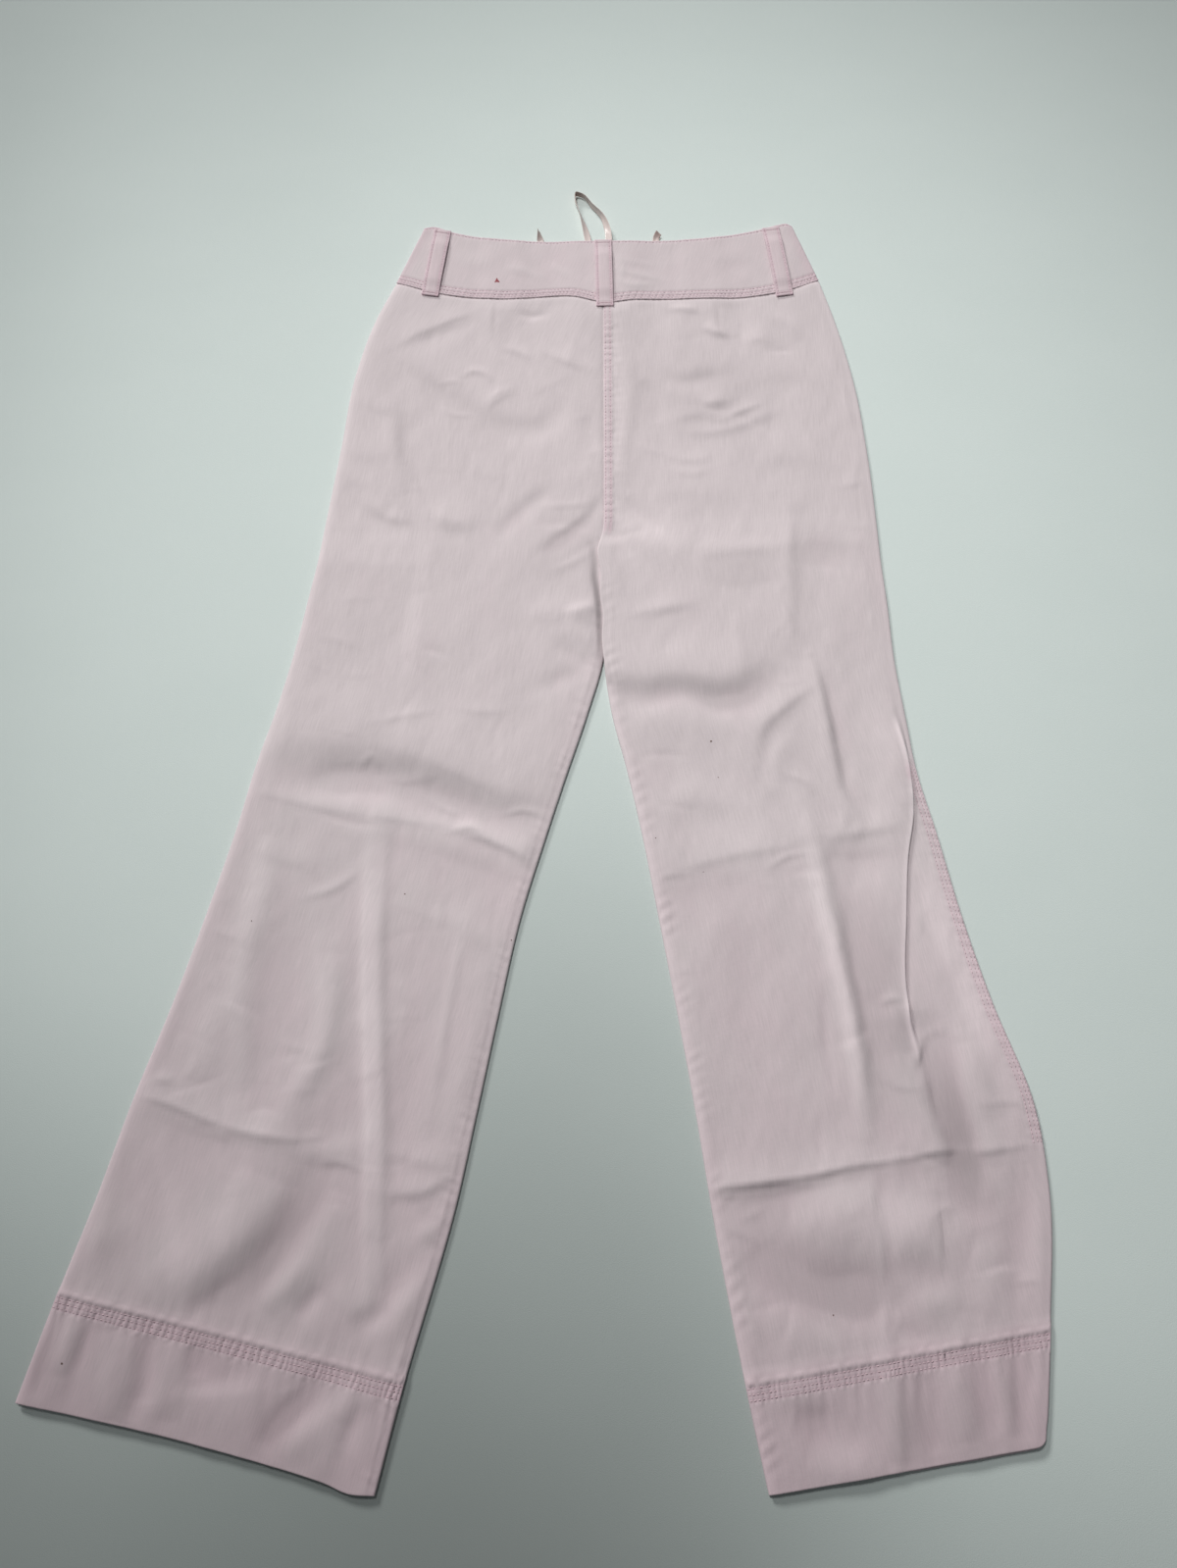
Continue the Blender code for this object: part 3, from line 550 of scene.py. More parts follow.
def addRibbon(name):
    values = ribbonCut
    table = np.array(ribbonRoutes[name], float)
    run = runOf(table[:, :3])
    at = np.linspace(0.0, run[-1], int(run[-1] / values["step"]))
    route = smoothCurve(run, table, at)
    middle, tilt = route[:, :3], np.radians(route[:, 3])
    along = np.gradient(middle, axis=0)
    along /= np.linalg.norm(along, axis=1, keepdims=True)
    flat = np.stack([-along[:, 1], along[:, 0], np.zeros(len(at))], axis=1)
    flat /= np.linalg.norm(flat, axis=1, keepdims=True)
    across = flat * np.cos(tilt)[:, None] + np.array([0.0, 0.0, 1.0]) * np.sin(tilt)[:, None]
    face = np.cross(across, along)
    share = np.linspace(-1.0, 1.0, values["columns"])
    cup = values["cup"] * (1 - share**2)  # the ribbon curls a little across its width
    centre = (middle[:, None] + across[:, None] * (share * values["width"] / 2)[None, :, None]
              + face[:, None] * cup[None, :, None])
    acrossAt = np.broadcast_to(share * values["width"] / 2, centre.shape[:2])
    grain = grainOf(acrossAt, np.broadcast_to(at[:, None], centre.shape[:2]), 0.0)
    tones = ribbonTones
    apex = run[5] if name == "ribbon_loop_centre" else run[-1]
    # painted shade at the fold and where the ribbon stands up from flat
    tone = tones["bend"] * bump(at, apex, tones["bendLength"])[:, None]
    tone = tone + tones["tilted"] * (1 - np.abs(np.cos(tilt)))[:, None] + tones["edge"] * np.abs(share) ** 6
    piece, _surface, _normal = clothWall(name + "_satin", centre, values["thick"] / 2, values["thick"] / 2,
                                         satin, grain, tone, bulge=values["bulge"])
    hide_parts(name)
    return piece, middle, run[-1]


hangerLoop, hangerRoute, hangerLength = addRibbon("ribbon_loop_centre")
hangerPath = [tuple((point + (*centreShift, 0.0)) * millimetre) for point in hangerRoute]
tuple(hangerPath[0])
for tipName in ("ribbon_tip_left", "ribbon_tip_right"):
    addRibbon(tipName)
print("ribbons laid:", round(hangerLength), "mm of free loop")


# The cut, as in the solids: plies, levels and the outline of every panel

cloth = {"ply": 1.1, "hemExtra": 0.5, "bandPly": 1.6, "loopPly": 1.2, "gap": 0.3}
lie = {
    "level": 3.6,  # middle of a back panel's wall above the floor
    "press": 0.5,
    "roll": 12.0,  # width over which a panel rolls down to its edge
    "hemDepth": 76.0, "hemFade": 10.0, "hemLift": 0.7, "hemCorner": 7.0,
    "waistBend": 130.0, "edgeCalm": (1.0, 16.0), "waistCalm": (2.0, 12.0), "waistRise": (46.0, 2.0),
    "seamX": 52.0, "forkY": 217.0, "forkFade": (219.0, 203.0), "underFork": 0.9,
    "forkHook": [(-6.0, 198.0, 16.0), (3.0, 140.0, 16.0)],  # the right leg's inner edge: moved by, y, length
    "overlapLift": 1.5, "overlapEnd": 92.0, "overlapFade": 26.0, "overlapSlope": (30.0, 6.0),
}
waist = {
    "lapHalf": 18.0, "lapSpace": 1.1, "lapFade": 30.0, "lapBend": (28.0, 3.0),
    "frontDip": 14.0, "roll": (2.0, 34.0), "past": 4.0,
    "seam": [(-139, 470), (-98, 458), (-47, 452), (26, 454), (52, 448),
             (82, 451), (140, 452.5), (186, 454.5), (226, 463), (251, 473)],
    "frontSeam": [(-139, 470), (-60, 443), (54, 434), (170, 445), (251, 473)],
    "top": [(-115, 529), (-107, 530.5), (-90, 525), (-69, 520), (-37, 516), (1, 514), (52, 514),
            (99, 515), (149, 518), (200, 528), (217, 533), (224, 534), (229, 531)],
}
loopCut = {
    "width": 15.5, "rise": 1.3, "sewn": 7.0, "ease": 3.0, "fade": 18.0, "frontFade": 24.0,
    "overlapRise": 0.9,
    "back": {
        "left": ((-107.5, 455.5), (-97.5, 526.0)),
        "centre": ((53.5, 443.0), (52.0, 514.0)),
        "right": ((219.0, 455.5), (208.5, 529.0)),
    },
    "frontX": {"left": -40.0, "right": 144.0}, "frontEnds": (2.0, 1.0),
}
flyCut = {"bottom": 288.0, "width": 36.0, "round": 9.0, "zipWidth": 24.0, "zipThick": 0.6, "fade": 26.0,
          "above": 0.1, "fadeEnd": 8.0,
          "zipAbove": 6.0, "belowSeam": 1.0, "catchAway": 1.0,
          "catchThick": 0.5, "catchLength": 14.0, "catchWidth": 11.0, "catchUp": 34.0}

# Left leg: level, outer edge x and y, inner edge x and y
leftSections = [
    ("waist", -139, 470, 52, 448), ("dart", -157, 428, 52, 412), ("seat", -172, 372, 52, 365),
    ("hip", -181, 300, 52, 297), ("fork", -192, 217, 52, 217), ("fork end", -195, 194, 52, 194),
    ("under fork", -201, 160, 54, 156), ("thigh", -210, 110, 51.5, 103),
    ("upper leg", -222, 58, 37, 50), ("mid thigh", -236, 8, 19, -5),
    ("above knee", -248, -45, 3, -56), ("knee", -266, -112, -16, -120),
    ("below knee", -288, -187, -33, -200), ("shin", -312, -260, -48, -274),
    ("calf", -332, -329, -63, -345), ("hem stitch", -355, -401, -96, -462),
    ("hem edge", -377, -474, -114, -534),
]
# Right leg: level, inner edge x and y, outer edge x and y
rightSections = [
    ("waist", 52, 448, 251, 473), ("dart", 52, 412, 264, 428), ("seat", 52, 365, 277, 368),
    ("hip", 52, 297, 285, 300), ("fork", 52, 217, 290, 217), ("fork end", 52, 194, 291, 193),
    ("over fork", 47.5, 158, 294, 153), ("thigh", 51, 103, 297, 98), ("upper leg", 58, 52, 303, 48),
    ("mid thigh", 70, 4, 309, 2), ("above knee", 81, -46, 321, -47), ("knee", 95, -122, 337, -118),
    ("below knee", 109, -200, 356, -187), ("shin", 121, -272, 381, -262),
    ("calf", 132, -345, 387, -325), ("hem stitch", 153, -464, 378, -426),
    ("hem edge", 167, -534, 368, -502),
]
# Tuck of the right leg: outer edge y, strip width, turn in degrees, cloth folded under
tuck = {
    "rows": [
        (474, 12, 0, 1.0), (70, 12, 0, 1.0), (40, 9, 25, 1.0), (16, 7, 85, 1.0), (-4, 8, 150, 1.2),
        (-30, 14, 180, 3.0), (-69, 30, 180, 7.0), (-118, 46, 180, 9.0), (-170, 64, 180, 6.0),
        (-186, 68, 165, 1.6), (-196, 71, 95, 0.8), (-212, 74, 35, 0.8), (-250, 81, 8, 1.0),
        (-500, 86, 0, 1.0),
    ],
    "radius": 0.8, "slope": (36.0, 3.0), "beforeFold": 1.2, "stripPower": 1.35,
    "turnCells": 6, "mainCells": 70, "stripCells": 34,
}

# Creases of the back, crest by crest; widths are above and below on one that runs to the right
leftCreases = [
    ("seat fold", [(-137, 402), (-122, 413), (-104, 422), (-85, 431), (-64, 439)], (11, 3.2), 1.3, 1.7),
    ("seat fold foot", [(-129, 399), (-107, 410), (-83, 420), (-62, 428)], (4, 9), -0.7, 2),
    ("seat dent", [(-27, 437), (-13, 434), (1, 437)], (4, 3.4), -1.1, 2),
    ("seat hollow outer", [(-131, 378), (-114, 366), (-94, 353), (-74, 340), (-54, 326)], (9, 13), -1.5, 2),
    ("seat hollow", [(-63, 332), (-43, 322), (-19, 318), (2, 325), (18, 355)], (9, 12), -1.6, 2),
    ("seat nick", [(-76, 375), (-64, 378), (-45, 366)], (5, 2.4), 0.5, 1.5),
    ("seat line", [(-55, 342), (-40, 355), (-28, 359)], (5, 2.4), 0.8, 1.5),
    ("seat dash", [(-42, 402), (-25, 396), (-11, 389)], (6, 3), 0.9, 1.6),
    ("seat dash inner", [(-4, 398), (17, 387), (37, 378)], (7, 3.4), 1.0, 1.7),
    ("seat upright", [(-123, 324), (-125, 306), (-125, 285)], (4, 6), -0.9, 2),
    ("seat blob", [(36, 332), (41, 313), (46, 294)], (5, 9), -1.5, 2),
    ("seat shelf", [(-170, 352), (-149, 340), (-130, 334)], (12, 6), 0.8, 2),
    ("hip drag", [(-191, 306), (-157, 294), (-126, 298)], (18, 9), 0.8, 2),
    ("hip drag low", [(-192, 261), (-169, 268), (-142, 259)], (16, 9), 0.7, 2),
    ("dart", [(-48, 451), (-48, 432), (-49, 414)], (1.5, 1.5), -0.6, 2),
    ("dart bank", [(-48, 451), (-48, 432), (-49, 414)], (7, 7), 0.25, 2),
    ("hip blotch", [(-162, 256), (-147, 239), (-132, 230), (-114, 229)], (16, 6), 1.5, 1.8),
    ("hip blotch foot", [(-157, 242), (-140, 227), (-115, 221)], (5, 12), -0.8, 2),
    ("crease blotch", [(-99, 232), (-84, 229), (-61, 227)], (14, 7), 1.3, 2),
    ("crease blotch foot", [(-97, 219), (-80, 214), (-60, 213)], (6, 14), -0.6, 2),
    ("hip shelf", [(-193, 219), (-163, 217), (-133, 214), (-98, 210)], (14, 26), 1.0, 2),
    ("fork drag", [(52, 250), (36, 230), (15, 210), (-7, 195)], (8, 6), -1.9, 2),
    ("fork drag high", [(6, 259), (-26, 232), (-42, 208)], (8, 7), -1.4, 2),
    ("fork gap", [(41, 205), (43, 184), (47, 156), (48, 121), (49, 87)], (3, 4), -1.6, 2),
    ("fork drag line", [(39, 239), (22, 224), (5, 215)], (5, 3.4), 0.8, 1.7),
    ("fork drag line low", [(44, 202), (26, 190), (6, 181)], (5, 3.4), 0.8, 1.7),
    ("seat upright band", [(-126, 340), (-121, 300), (-112, 258)], (8, 9), -1.7, 2),
    ("seat upright bank", [(-140, 338), (-134, 294), (-124, 250)], (9, 9), 1.2, 2),
    ("upright line", [(-113, 276), (-108, 259), (-97, 237)], (3, 3), -0.8, 2),
    ("inner nick", [(48, 152), (36, 146), (16, 140)], (12, 5), 2.0, 1.7),
    ("inner rise", [(-20, 139), (6, 143), (39, 145)], (12, 9), 1.0, 2),
    ("inner shelf", [(12, 129), (29, 121), (46, 115)], (12, 8), 1.0, 2),
    ("inner dip", [(9, 114), (26, 102), (46, 93)], (7, 7), -1.0, 2),
    ("inner dip low", [(-11, 69), (10, 80), (47, 96)], (9, 9), -1.1, 2),
    ("thigh ridge outer", [(-239, 24), (-201, 33), (-166, 31), (-127, 24), (-97, 10)], (42, 19), 3.1, 2),
    ("thigh ridge inner", [(-141, 27), (-107, 19), (-67, 4), (-28, -12), (12, -21)], (34, 15), 2.9, 2),
    ("thigh trough outer", [(-212, -13), (-174, -10), (-135, -11), (-100, -23)], (16, 13), -2.5, 2),
    ("thigh trough inner", [(-120, -13), (-81, -27), (-42, -39), (-1, -46)], (15, 20), -2.1, 2),
    ("knee fold", [(-240, -14), (-207, -23), (-173, -31), (-138, -37)], (13, 3.0), 1.1, 1.7),
    ("knee fold middle", [(-148, -36), (-114, -40), (-88, -44), (-63, -48)], (12, 3.0), 1.0, 1.6),
    ("knee fold inner", [(-73, -47), (-39, -57), (-18, -67), (2, -83)], (15, 4.0), 2.3, 1.6),
    ("knee point", [(-75, -50), (-59, -46), (-39, -60)], (5, 3), 1.6, 1.5),
    ("knee hollow", [(-137, -60), (-89, -72), (-41, -87), (-3, -108)], (10, 26), -1.3, 2),
    ("side mark", [(-190, -104), (-166, -96), (-146, -81)], (5, 3.4), 1.0, 1.6),
    ("outer drag", [(-231, -60), (-209, -72), (-186, -76)], (12, 6), 0.9, 1.9),
    ("inner drag", [(-88, -108), (-61, -127), (-30, -146)], (14, 10), 0.8, 2),
    ("second crease", [(-60, -123), (-71, -188), (-83, -275)], (3.4, 5), 1.0, 1.6),
    ("strip", [(-131, -16), (-133, -50), (-134, -99), (-132, -156), (-128, -220), (-123, -282), (-119, -352)],
     (10.5, 10.5), 1.5, 5),
    ("outer ridge", [(-221, -50), (-225, -94), (-235, -149)], (12, 12), 1.5, 2),
    ("outer ridge low", [(-168, -142), (-167, -215), (-179, -251), (-196, -284)], (14, 12), 1.4, 2),
    ("outer dip", [(-199, -80), (-204, -146), (-213, -220), (-223, -273)], (14, 14), -1.1, 2),
    ("inner trough", [(-96, -146), (-97, -215), (-104, -282), (-104, -350)], (12, 12), -1.2, 2),
    ("inner ridge", [(-40, -142), (-52, -220), (-68, -299)], (18, 16), 1.3, 2),
    ("strip low", [(-136, -91), (-133, -175), (-127, -255), (-124, -311), (-123, -362), (-118, -420),
     (-115, -440)], (8.5, 8.5), 1.8, 5),
    ("strip end", [(-143, -417), (-132, -408), (-116, -401)], (16, 9), 1.6, 2),
    ("strip end dip", [(-128, -424), (-117, -417), (-108, -408)], (8, 9), -1.4, 2),
    ("calf ridge", [(-227, -91), (-234, -142), (-237, -191), (-230, -223), (-232, -261)], (12, 10), 1.5, 2),
    ("calf ridge outer", [(-250, -176), (-257, -210), (-268, -249)], (12, 12), 1.5, 2),
    ("calf ridge inner", [(-164, -145), (-164, -191), (-168, -223), (-183, -250), (-198, -277)],
     (9, 13), 1.8, 2),
    ("calf dip", [(-193, -132), (-201, -175), (-211, -217), (-215, -249)], (14, 14), -1.2, 2),
    ("calf dip outer", [(-281, -158), (-291, -201), (-304, -239)], (16, 16), -1.0, 2),
    ("shin break", [(-312, -255), (-280, -265), (-256, -274), (-231, -281)], (13, 2.8), 1.4, 1.6),
    ("shin break middle", [(-245, -281), (-226, -284), (-205, -288), (-181, -290)], (18, 4), 1.8, 1.6),
    ("shin break foot", [(-301, -274), (-261, -289), (-225, -298), (-183, -307)], (6, 20), -0.8, 2),
    ("shin break inner", [(-168, -307), (-149, -307), (-130, -313)], (13, 3), 1.4, 1.6),
    ("shin mark inner", [(-183, -295), (-158, -298), (-134, -291)], (8, 8), 1.0, 2),
    ("shin shelf", [(-118, -298), (-89, -305), (-57, -311)], (12, 6), 1.1, 1.8),
    ("shin shelf low", [(-116, -329), (-89, -328), (-63, -315)], (11, 5), 1.7, 1.7),
    ("shin arc", [(-62, -332), (-72, -353), (-92, -360)], (9, 7), 1.5, 1.9),
    ("edge nick", [(-298, -244), (-290, -246), (-282, -247)], (5, 3), 1.0, 1.6),
    ("edge nick low", [(-307, -255), (-302, -248), (-298, -244)], (3, 4), 0.9, 1.6),
    ("big valley", [(-166, -298), (-171, -326), (-185, -357), (-203, -378), (-222, -394), (-245, -408)],
     (24, 20), -3.0, 2),
    ("big valley end", [(-218, -391), (-242, -407), (-261, -416)], (9, 9), -1.4, 2),
    ("big valley bank", [(-195, -317), (-207, -344), (-224, -362), (-243, -375), (-270, -388), (-298, -401)],
     (20, 34), 4.2, 2),
    ("big valley bank inner", [(-149, -326), (-158, -347), (-173, -378), (-188, -397), (-204, -412)],
     (17, 13), 3.0, 2),
    ("lower dip", [(-158, -395), (-168, -407), (-176, -419)], (7, 7), -1.5, 2),
    ("lower rise", [(-167, -372), (-185, -394), (-205, -413)], (8, 8), 1.2, 2),
    ("lower rise inner", [(-80, -390), (-99, -411), (-121, -432)], (13, 10), 1.9, 2),
    ("lower dip inner", [(-86, -373), (-109, -398), (-126, -417)], (12, 10), -1.3, 2),
    ("outer puff", [(-342, -365), (-321, -356), (-298, -341)], (26, 20), 1.5, 2),
    ("hem dip one", [(-359, -417), (-364, -443), (-365, -473)], (8, 9), -2.0, 2),
    ("hem rise one", [(-337, -414), (-341, -436), (-345, -457)], (8, 9), 2.2, 2),
    ("hem dip two", [(-326, -416), (-332, -437), (-339, -458)], (6, 6), -1.4, 2),
    ("hem rise two", [(-307, -423), (-305, -451), (-309, -487)], (16, 14), 2.6, 2),
    ("hem dip three", [(-287, -425), (-284, -454), (-293, -488)], (8, 8), -2.2, 2),
    ("hem rise three", [(-266, -431), (-265, -457), (-268, -487)], (12, 12), 1.8, 2),
    ("hem dip four", [(-249, -433), (-247, -445), (-247, -458)], (7, 7), -1.7, 2),
    ("hem rise four", [(-267, -472), (-237, -471), (-212, -469), (-194, -466)], (9, 26), 2.2, 2),
    ("hem valley", [(-158, -455), (-169, -473), (-184, -488), (-198, -507)], (10, 9), -2.6, 2),
    ("hem rise five", [(-123, -462), (-139, -476), (-154, -489), (-185, -510)], (13, 11), 2.6, 2),
    ("hem rise six", [(-138, -487), (-147, -504), (-156, -524)], (9, 9), 1.3, 2),
    ("hem dip six", [(-124, -473), (-133, -490), (-140, -506)], (7, 7), -1.1, 2),
    ("crease fan one", [(-78, 369), (-66, 376), (-57, 375), (-46, 361)], (3, 1.8), 0.7, 1.4),
    ("crease fan two", [(-54, 337), (-46, 345), (-36, 352), (-29, 355)], (3, 1.8), 0.7, 1.4),
    ("seat crinkle", [(-98, 363), (-85, 366), (-73, 363)], (3, 1.8), 0.5, 1.4),
    ("seat crinkle low", [(-94, 340), (-80, 332), (-64, 332)], (3, 1.8), 0.6, 1.4),
    ("thigh crinkle", [(-150, 4), (-141, 14), (-132, 3)], (3, 1.8), 0.8, 1.4),
    ("thigh crinkle inner", [(-97, -21), (-76, -32), (-65, -36)], (3, 1.8), 0.9, 1.4),
    ("thigh crinkle end", [(-32, -36), (-15, -32), (6, -39)], (3, 1.8), 0.9, 1.4),
    ("knee crinkle", [(-212, -21), (-206, -32), (-199, -50)], (2, 2.4), 0.6, 1.4),
    ("edge crinkle", [(-67, -298), (-60, -301), (-53, -300)], (2.4, 2), 0.8, 1.4),
    ("edge crinkle low", [(-71, -317), (-64, -320), (-56, -323)], (2.4, 2), 0.8, 1.4),
]
rightCreases = [
    ("seat fold", [(143, 424), (154, 417), (167, 414)], (9, 3.4), 2.1, 1.6),
    ("seat fold low", [(178, 407), (195, 410), (206, 402)], (8, 5), 0.9, 1.8),
    ("seat dash", [(110, 443), (123, 442), (140, 438)], (7, 3.2), 1.4, 1.6),
    ("seat arc", [(206, 438), (223, 422), (228, 405)], (7, 5), 1.0, 1.9),
    ("seat hollow", [(82, 366), (96, 353), (102, 338), (104, 323)], (8, 10), -1.5, 2),
    ("seat hollow high", [(106, 373), (121, 366), (142, 369), (167, 375)], (7, 9), -1.3, 2),
    ("seat blob", [(138, 345), (152, 345), (165, 347)], (9, 5), 1.9, 1.7),
    ("seat blob foot", [(136, 334), (151, 333), (167, 336)], (5, 10), -0.8, 2),
    ("seat wave", [(115, 328), (136, 333), (158, 328), (177, 338), (194, 348)], (8, 4.4), 1.3, 1.7),
    ("seat wave low", [(122, 316), (144, 315), (168, 320), (190, 329), (211, 340)], (9, 5), 1.2, 1.8),
    ("seat arcs", [(106, 293), (127, 287), (147, 291)], (7, 4), 0.7, 1.8),
    ("seat arcs low", [(108, 279), (127, 274), (150, 279)], (7, 4), 0.6, 1.8),
    ("seat drift", [(187, 367), (211, 377), (238, 367)], (16, 9), 0.9, 2),
    ("hip drift", [(180, 287), (214, 294), (251, 283)], (20, 10), 0.9, 2),
    ("hip drift low", [(92, 254), (126, 259), (166, 250)], (20, 10), 0.8, 2),
    ("seam ridge", [(63, 447), (69, 407), (75, 367), (73, 329), (69, 291), (71, 254)], (7, 6), 1.6, 2),
    ("dart", [(156, 451), (157, 436), (157, 422)], (1.5, 1.5), -0.6, 2),
    ("dart bank", [(156, 451), (157, 436), (157, 422)], (7, 7), 0.25, 2),
    ("fork drag", [(68, 248), (85, 234), (107, 214)], (8, 6), -1.4, 2),
    ("fork drag low", [(55, 228), (69, 206), (76, 192)], (7, 7), -1.4, 2),
    ("fork rise", [(64, 224), (82, 210), (105, 195)], (10, 10), 0.8, 2),
    ("thigh patch", [(62, 201), (88, 202), (112, 200), (131, 196)], (26, 24), 1.9, 2),
    ("thigh shelf", [(135, 198), (158, 200), (181, 202), (207, 202)], (10, 6), 1.0, 2),
    ("outer fold line", [(215, 255), (213, 202), (212, 149), (209, 96)], (5, 12), 1.3, 1.8),
    ("outer shade", [(227, 210), (247, 199), (269, 192)], (13, 14), -1.5, 2),
    ("faint line", [(71, 139), (98, 146), (131, 152)], (8, 4), 0.9, 1.7),
    ("upright line", [(163, 144), (166, 121), (168, 96)], (4, 5), 0.9, 1.7),
    ("thigh trough", [(55, 69), (87, 65), (119, 66), (146, 61), (170, 65), (187, 80), (202, 100)],
     (15, 15), -2.4, 2),
    ("thigh ridge", [(50, 89), (85, 86), (119, 89), (144, 85), (167, 90), (188, 111)], (28, 14), 2.9, 2),
    ("thigh bank", [(57, 55), (87, 49), (120, 56), (145, 44), (172, 50)], (12, 22), 1.5, 2),
    ("slanting nick", [(229, 78), (205, 60), (183, 37), (177, 10)], (4, 12), 1.5, 1.7),
    ("slanting rise", [(207, 35), (194, 12), (193, -11)], (9, 5), 1.2, 1.9),
    ("outer break", [(225, 105), (231, 82), (235, 55), (240, 15), (248, -26), (260, -46)], (3.4, 11), 3.4, 1.5),
    ("outer break foot", [(233, 93), (242, 55), (248, 15), (257, -24)], (8, 4), -1.4, 2),
    ("crest", [(193, -11), (209, -23), (217, -42), (223, -65), (230, -108), (239, -156), (245, -193),
     (248, -238), (249, -282)], (8, 9), 2.8, 1.8),
    ("crest hollow", [(232, -36), (241, -80), (251, -137), (260, -193), (263, -247)], (16, 10), -1.8, 2),
    ("knee ridge", [(88, -84), (126, -76), (160, -67), (198, -61), (220, -56)], (22, 5.5), 1.2, 1.7),
    ("knee ridge outer", [(225, -55), (256, -50), (292, -43)], (15, 6), 1.7, 1.7),
    ("knee foot outer", [(226, -78), (259, -76), (289, -72)], (9, 18), -1.6, 2),
    ("knee hollow", [(92, -108), (140, -99), (192, -87)], (12, 22), -1.1, 2),
    ("knee drag", [(88, -36), (127, -21), (166, -28)], (16, 12), 1.2, 2),
    ("inner ridge", [(101, -127), (119, -193), (135, -264)], (16, 16), 1.3, 2),
    ("inner dip", [(148, -118), (167, -188), (183, -264)], (16, 18), -1.1, 2),
    ("tuck nick", [(267, -189), (277, -184), (285, -188)], (4, 3), 1.4, 1.5),
    ("tuck tail", [(283, -190), (286, -204), (292, -219)], (4, 4), -1.3, 2),
    ("tuck rise", [(302, -210), (296, -224), (290, -239)], (4, 4), 1.0, 1.8),
    ("tuck shade", [(307, -206), (317, -238), (314, -264), (324, -286), (325, -337)], (10, 9), -2.6, 2),
    ("side rise", [(331, -202), (342, -238), (352, -277)], (9, 9), 1.2, 2),
    ("knee crinkle", [(183, -80), (200, -70), (217, -68)], (3, 1.8), 0.8, 1.4),
    ("knee crinkle inner", [(73, -94), (97, -87), (122, -84)], (3, 1.8), 0.7, 1.4),
    ("break crinkle", [(241, -21), (247, -36), (246, -50)], (2.4, 2), 0.9, 1.4),
    ("crest crinkle", [(201, 0), (215, -7), (226, -21)], (3, 1.8), 1.0, 1.4),
    ("seat crinkle", [(134, 340), (145, 334), (162, 332)], (3, 1.8), 0.7, 1.4),
    ("seat crinkle two", [(165, 332), (179, 337), (193, 343)], (3, 1.8), 0.7, 1.4),
    ("shin crinkle", [(130, -335), (141, -331), (151, -331)], (2.6, 1.8), 0.9, 1.4),
    ("crest low", [(221, -91), (231, -135), (239, -175), (246, -217), (251, -255), (252, -286)],
     (6, 9), 2.8, 1.8),
    ("crest line", [(222, -175), (225, -230), (229, -264)], (3.4, 4), -0.9, 2),
    ("crest dip", [(244, -125), (252, -168), (261, -210), (265, -249)], (14, 8), -1.3, 2),
    ("outer valley", [(304, -207), (312, -239), (320, -274), (327, -301), (327, -329), (338, -356)],
     (13, 13), -4.4, 2),
    ("outer bank", [(328, -215), (332, -249), (337, -286), (339, -314)], (14, 10), 2.8, 2),
    ("inner bank", [(288, -223), (292, -255), (300, -286), (307, -314)], (11, 16), 2.4, 2),
    ("shin break inner", [(116, -328), (133, -326), (156, -323), (179, -320), (211, -315)],
     (14, 2.6), 2.0, 1.6),
    ("shin break", [(195, -318), (218, -314), (240, -309), (266, -306)], (16, 2.8), 1.9, 1.6),
    ("shin break outer", [(250, -308), (279, -304), (309, -298), (330, -300), (353, -297), (379, -293)],
     (13, 2.8), 1.5, 1.6),
    ("shin foot", [(133, -336), (179, -334), (221, -325), (256, -318)], (6, 18), -1.4, 2),
    ("fold step", [(248, -317), (252, -344), (256, -376), (255, -443)], (4.4, 16), 1.7, 1.8),
    ("calf puff", [(188, -347), (210, -344), (232, -342), (257, -344)], (26, 26), 3.8, 2),
    ("calf puff outer", [(263, -359), (282, -356), (305, -355)], (24, 22), 3.4, 2),
    ("calf smile", [(161, -362), (180, -387), (204, -401), (229, -405), (267, -398), (306, -391)],
     (22, 18), -3.8, 2),
    ("smile bank", [(170, -408), (200, -423), (234, -426)], (18, 20), 1.4, 2),
    ("hem puff", [(271, -407), (291, -405), (316, -405)], (12, 12), 1.8, 2),
    ("hem dip", [(265, -423), (277, -429), (285, -436)], (8, 9), -1.5, 2),
    ("edge rise", [(391, -286), (383, -362), (376, -434), (368, -501)], (7, 9), 1.3, 2),
    ("edge dip", [(369, -311), (361, -365), (353, -423)], (9, 9), -1.3, 2),
    ("edge mid", [(337, -335), (337, -376), (330, -417)], (14, 14), 1.0, 2),
    ("hem rise one", [(256, -448), (260, -482), (261, -515)], (6, 9), 2.4, 2),
    ("hem dip one", [(279, -451), (284, -482), (288, -510)], (8, 8), -2.0, 2),
    ("hem rise two", [(301, -445), (307, -473), (310, -501)], (10, 10), 2.0, 2),
    ("hem dip two", [(320, -439), (326, -468), (331, -499)], (8, 8), -1.9, 2),
    ("hem dip three", [(352, -428), (352, -465), (351, -502)], (8, 8), -2.0, 2),
    ("hem rise three", [(335, -437), (340, -468), (341, -498)], (8, 8), 1.6, 2),
    ("hem blob", [(186, -482), (200, -486), (215, -484)], (10, 14), -1.8, 2),
    ("hem rise low", [(193, -512), (223, -517), (254, -513)], (16, 12), 2.0, 2),
    ("hem rise inner", [(171, -471), (189, -466), (211, -462)], (12, 12), 1.1, 2),
    ("inner seam line", [(118, -217), (123, -261), (131, -305)], (3, 3), 0.7, 2),
    ("inner seam line low", [(143, -365), (153, -405), (167, -443)], (3, 3), 0.7, 2),
]
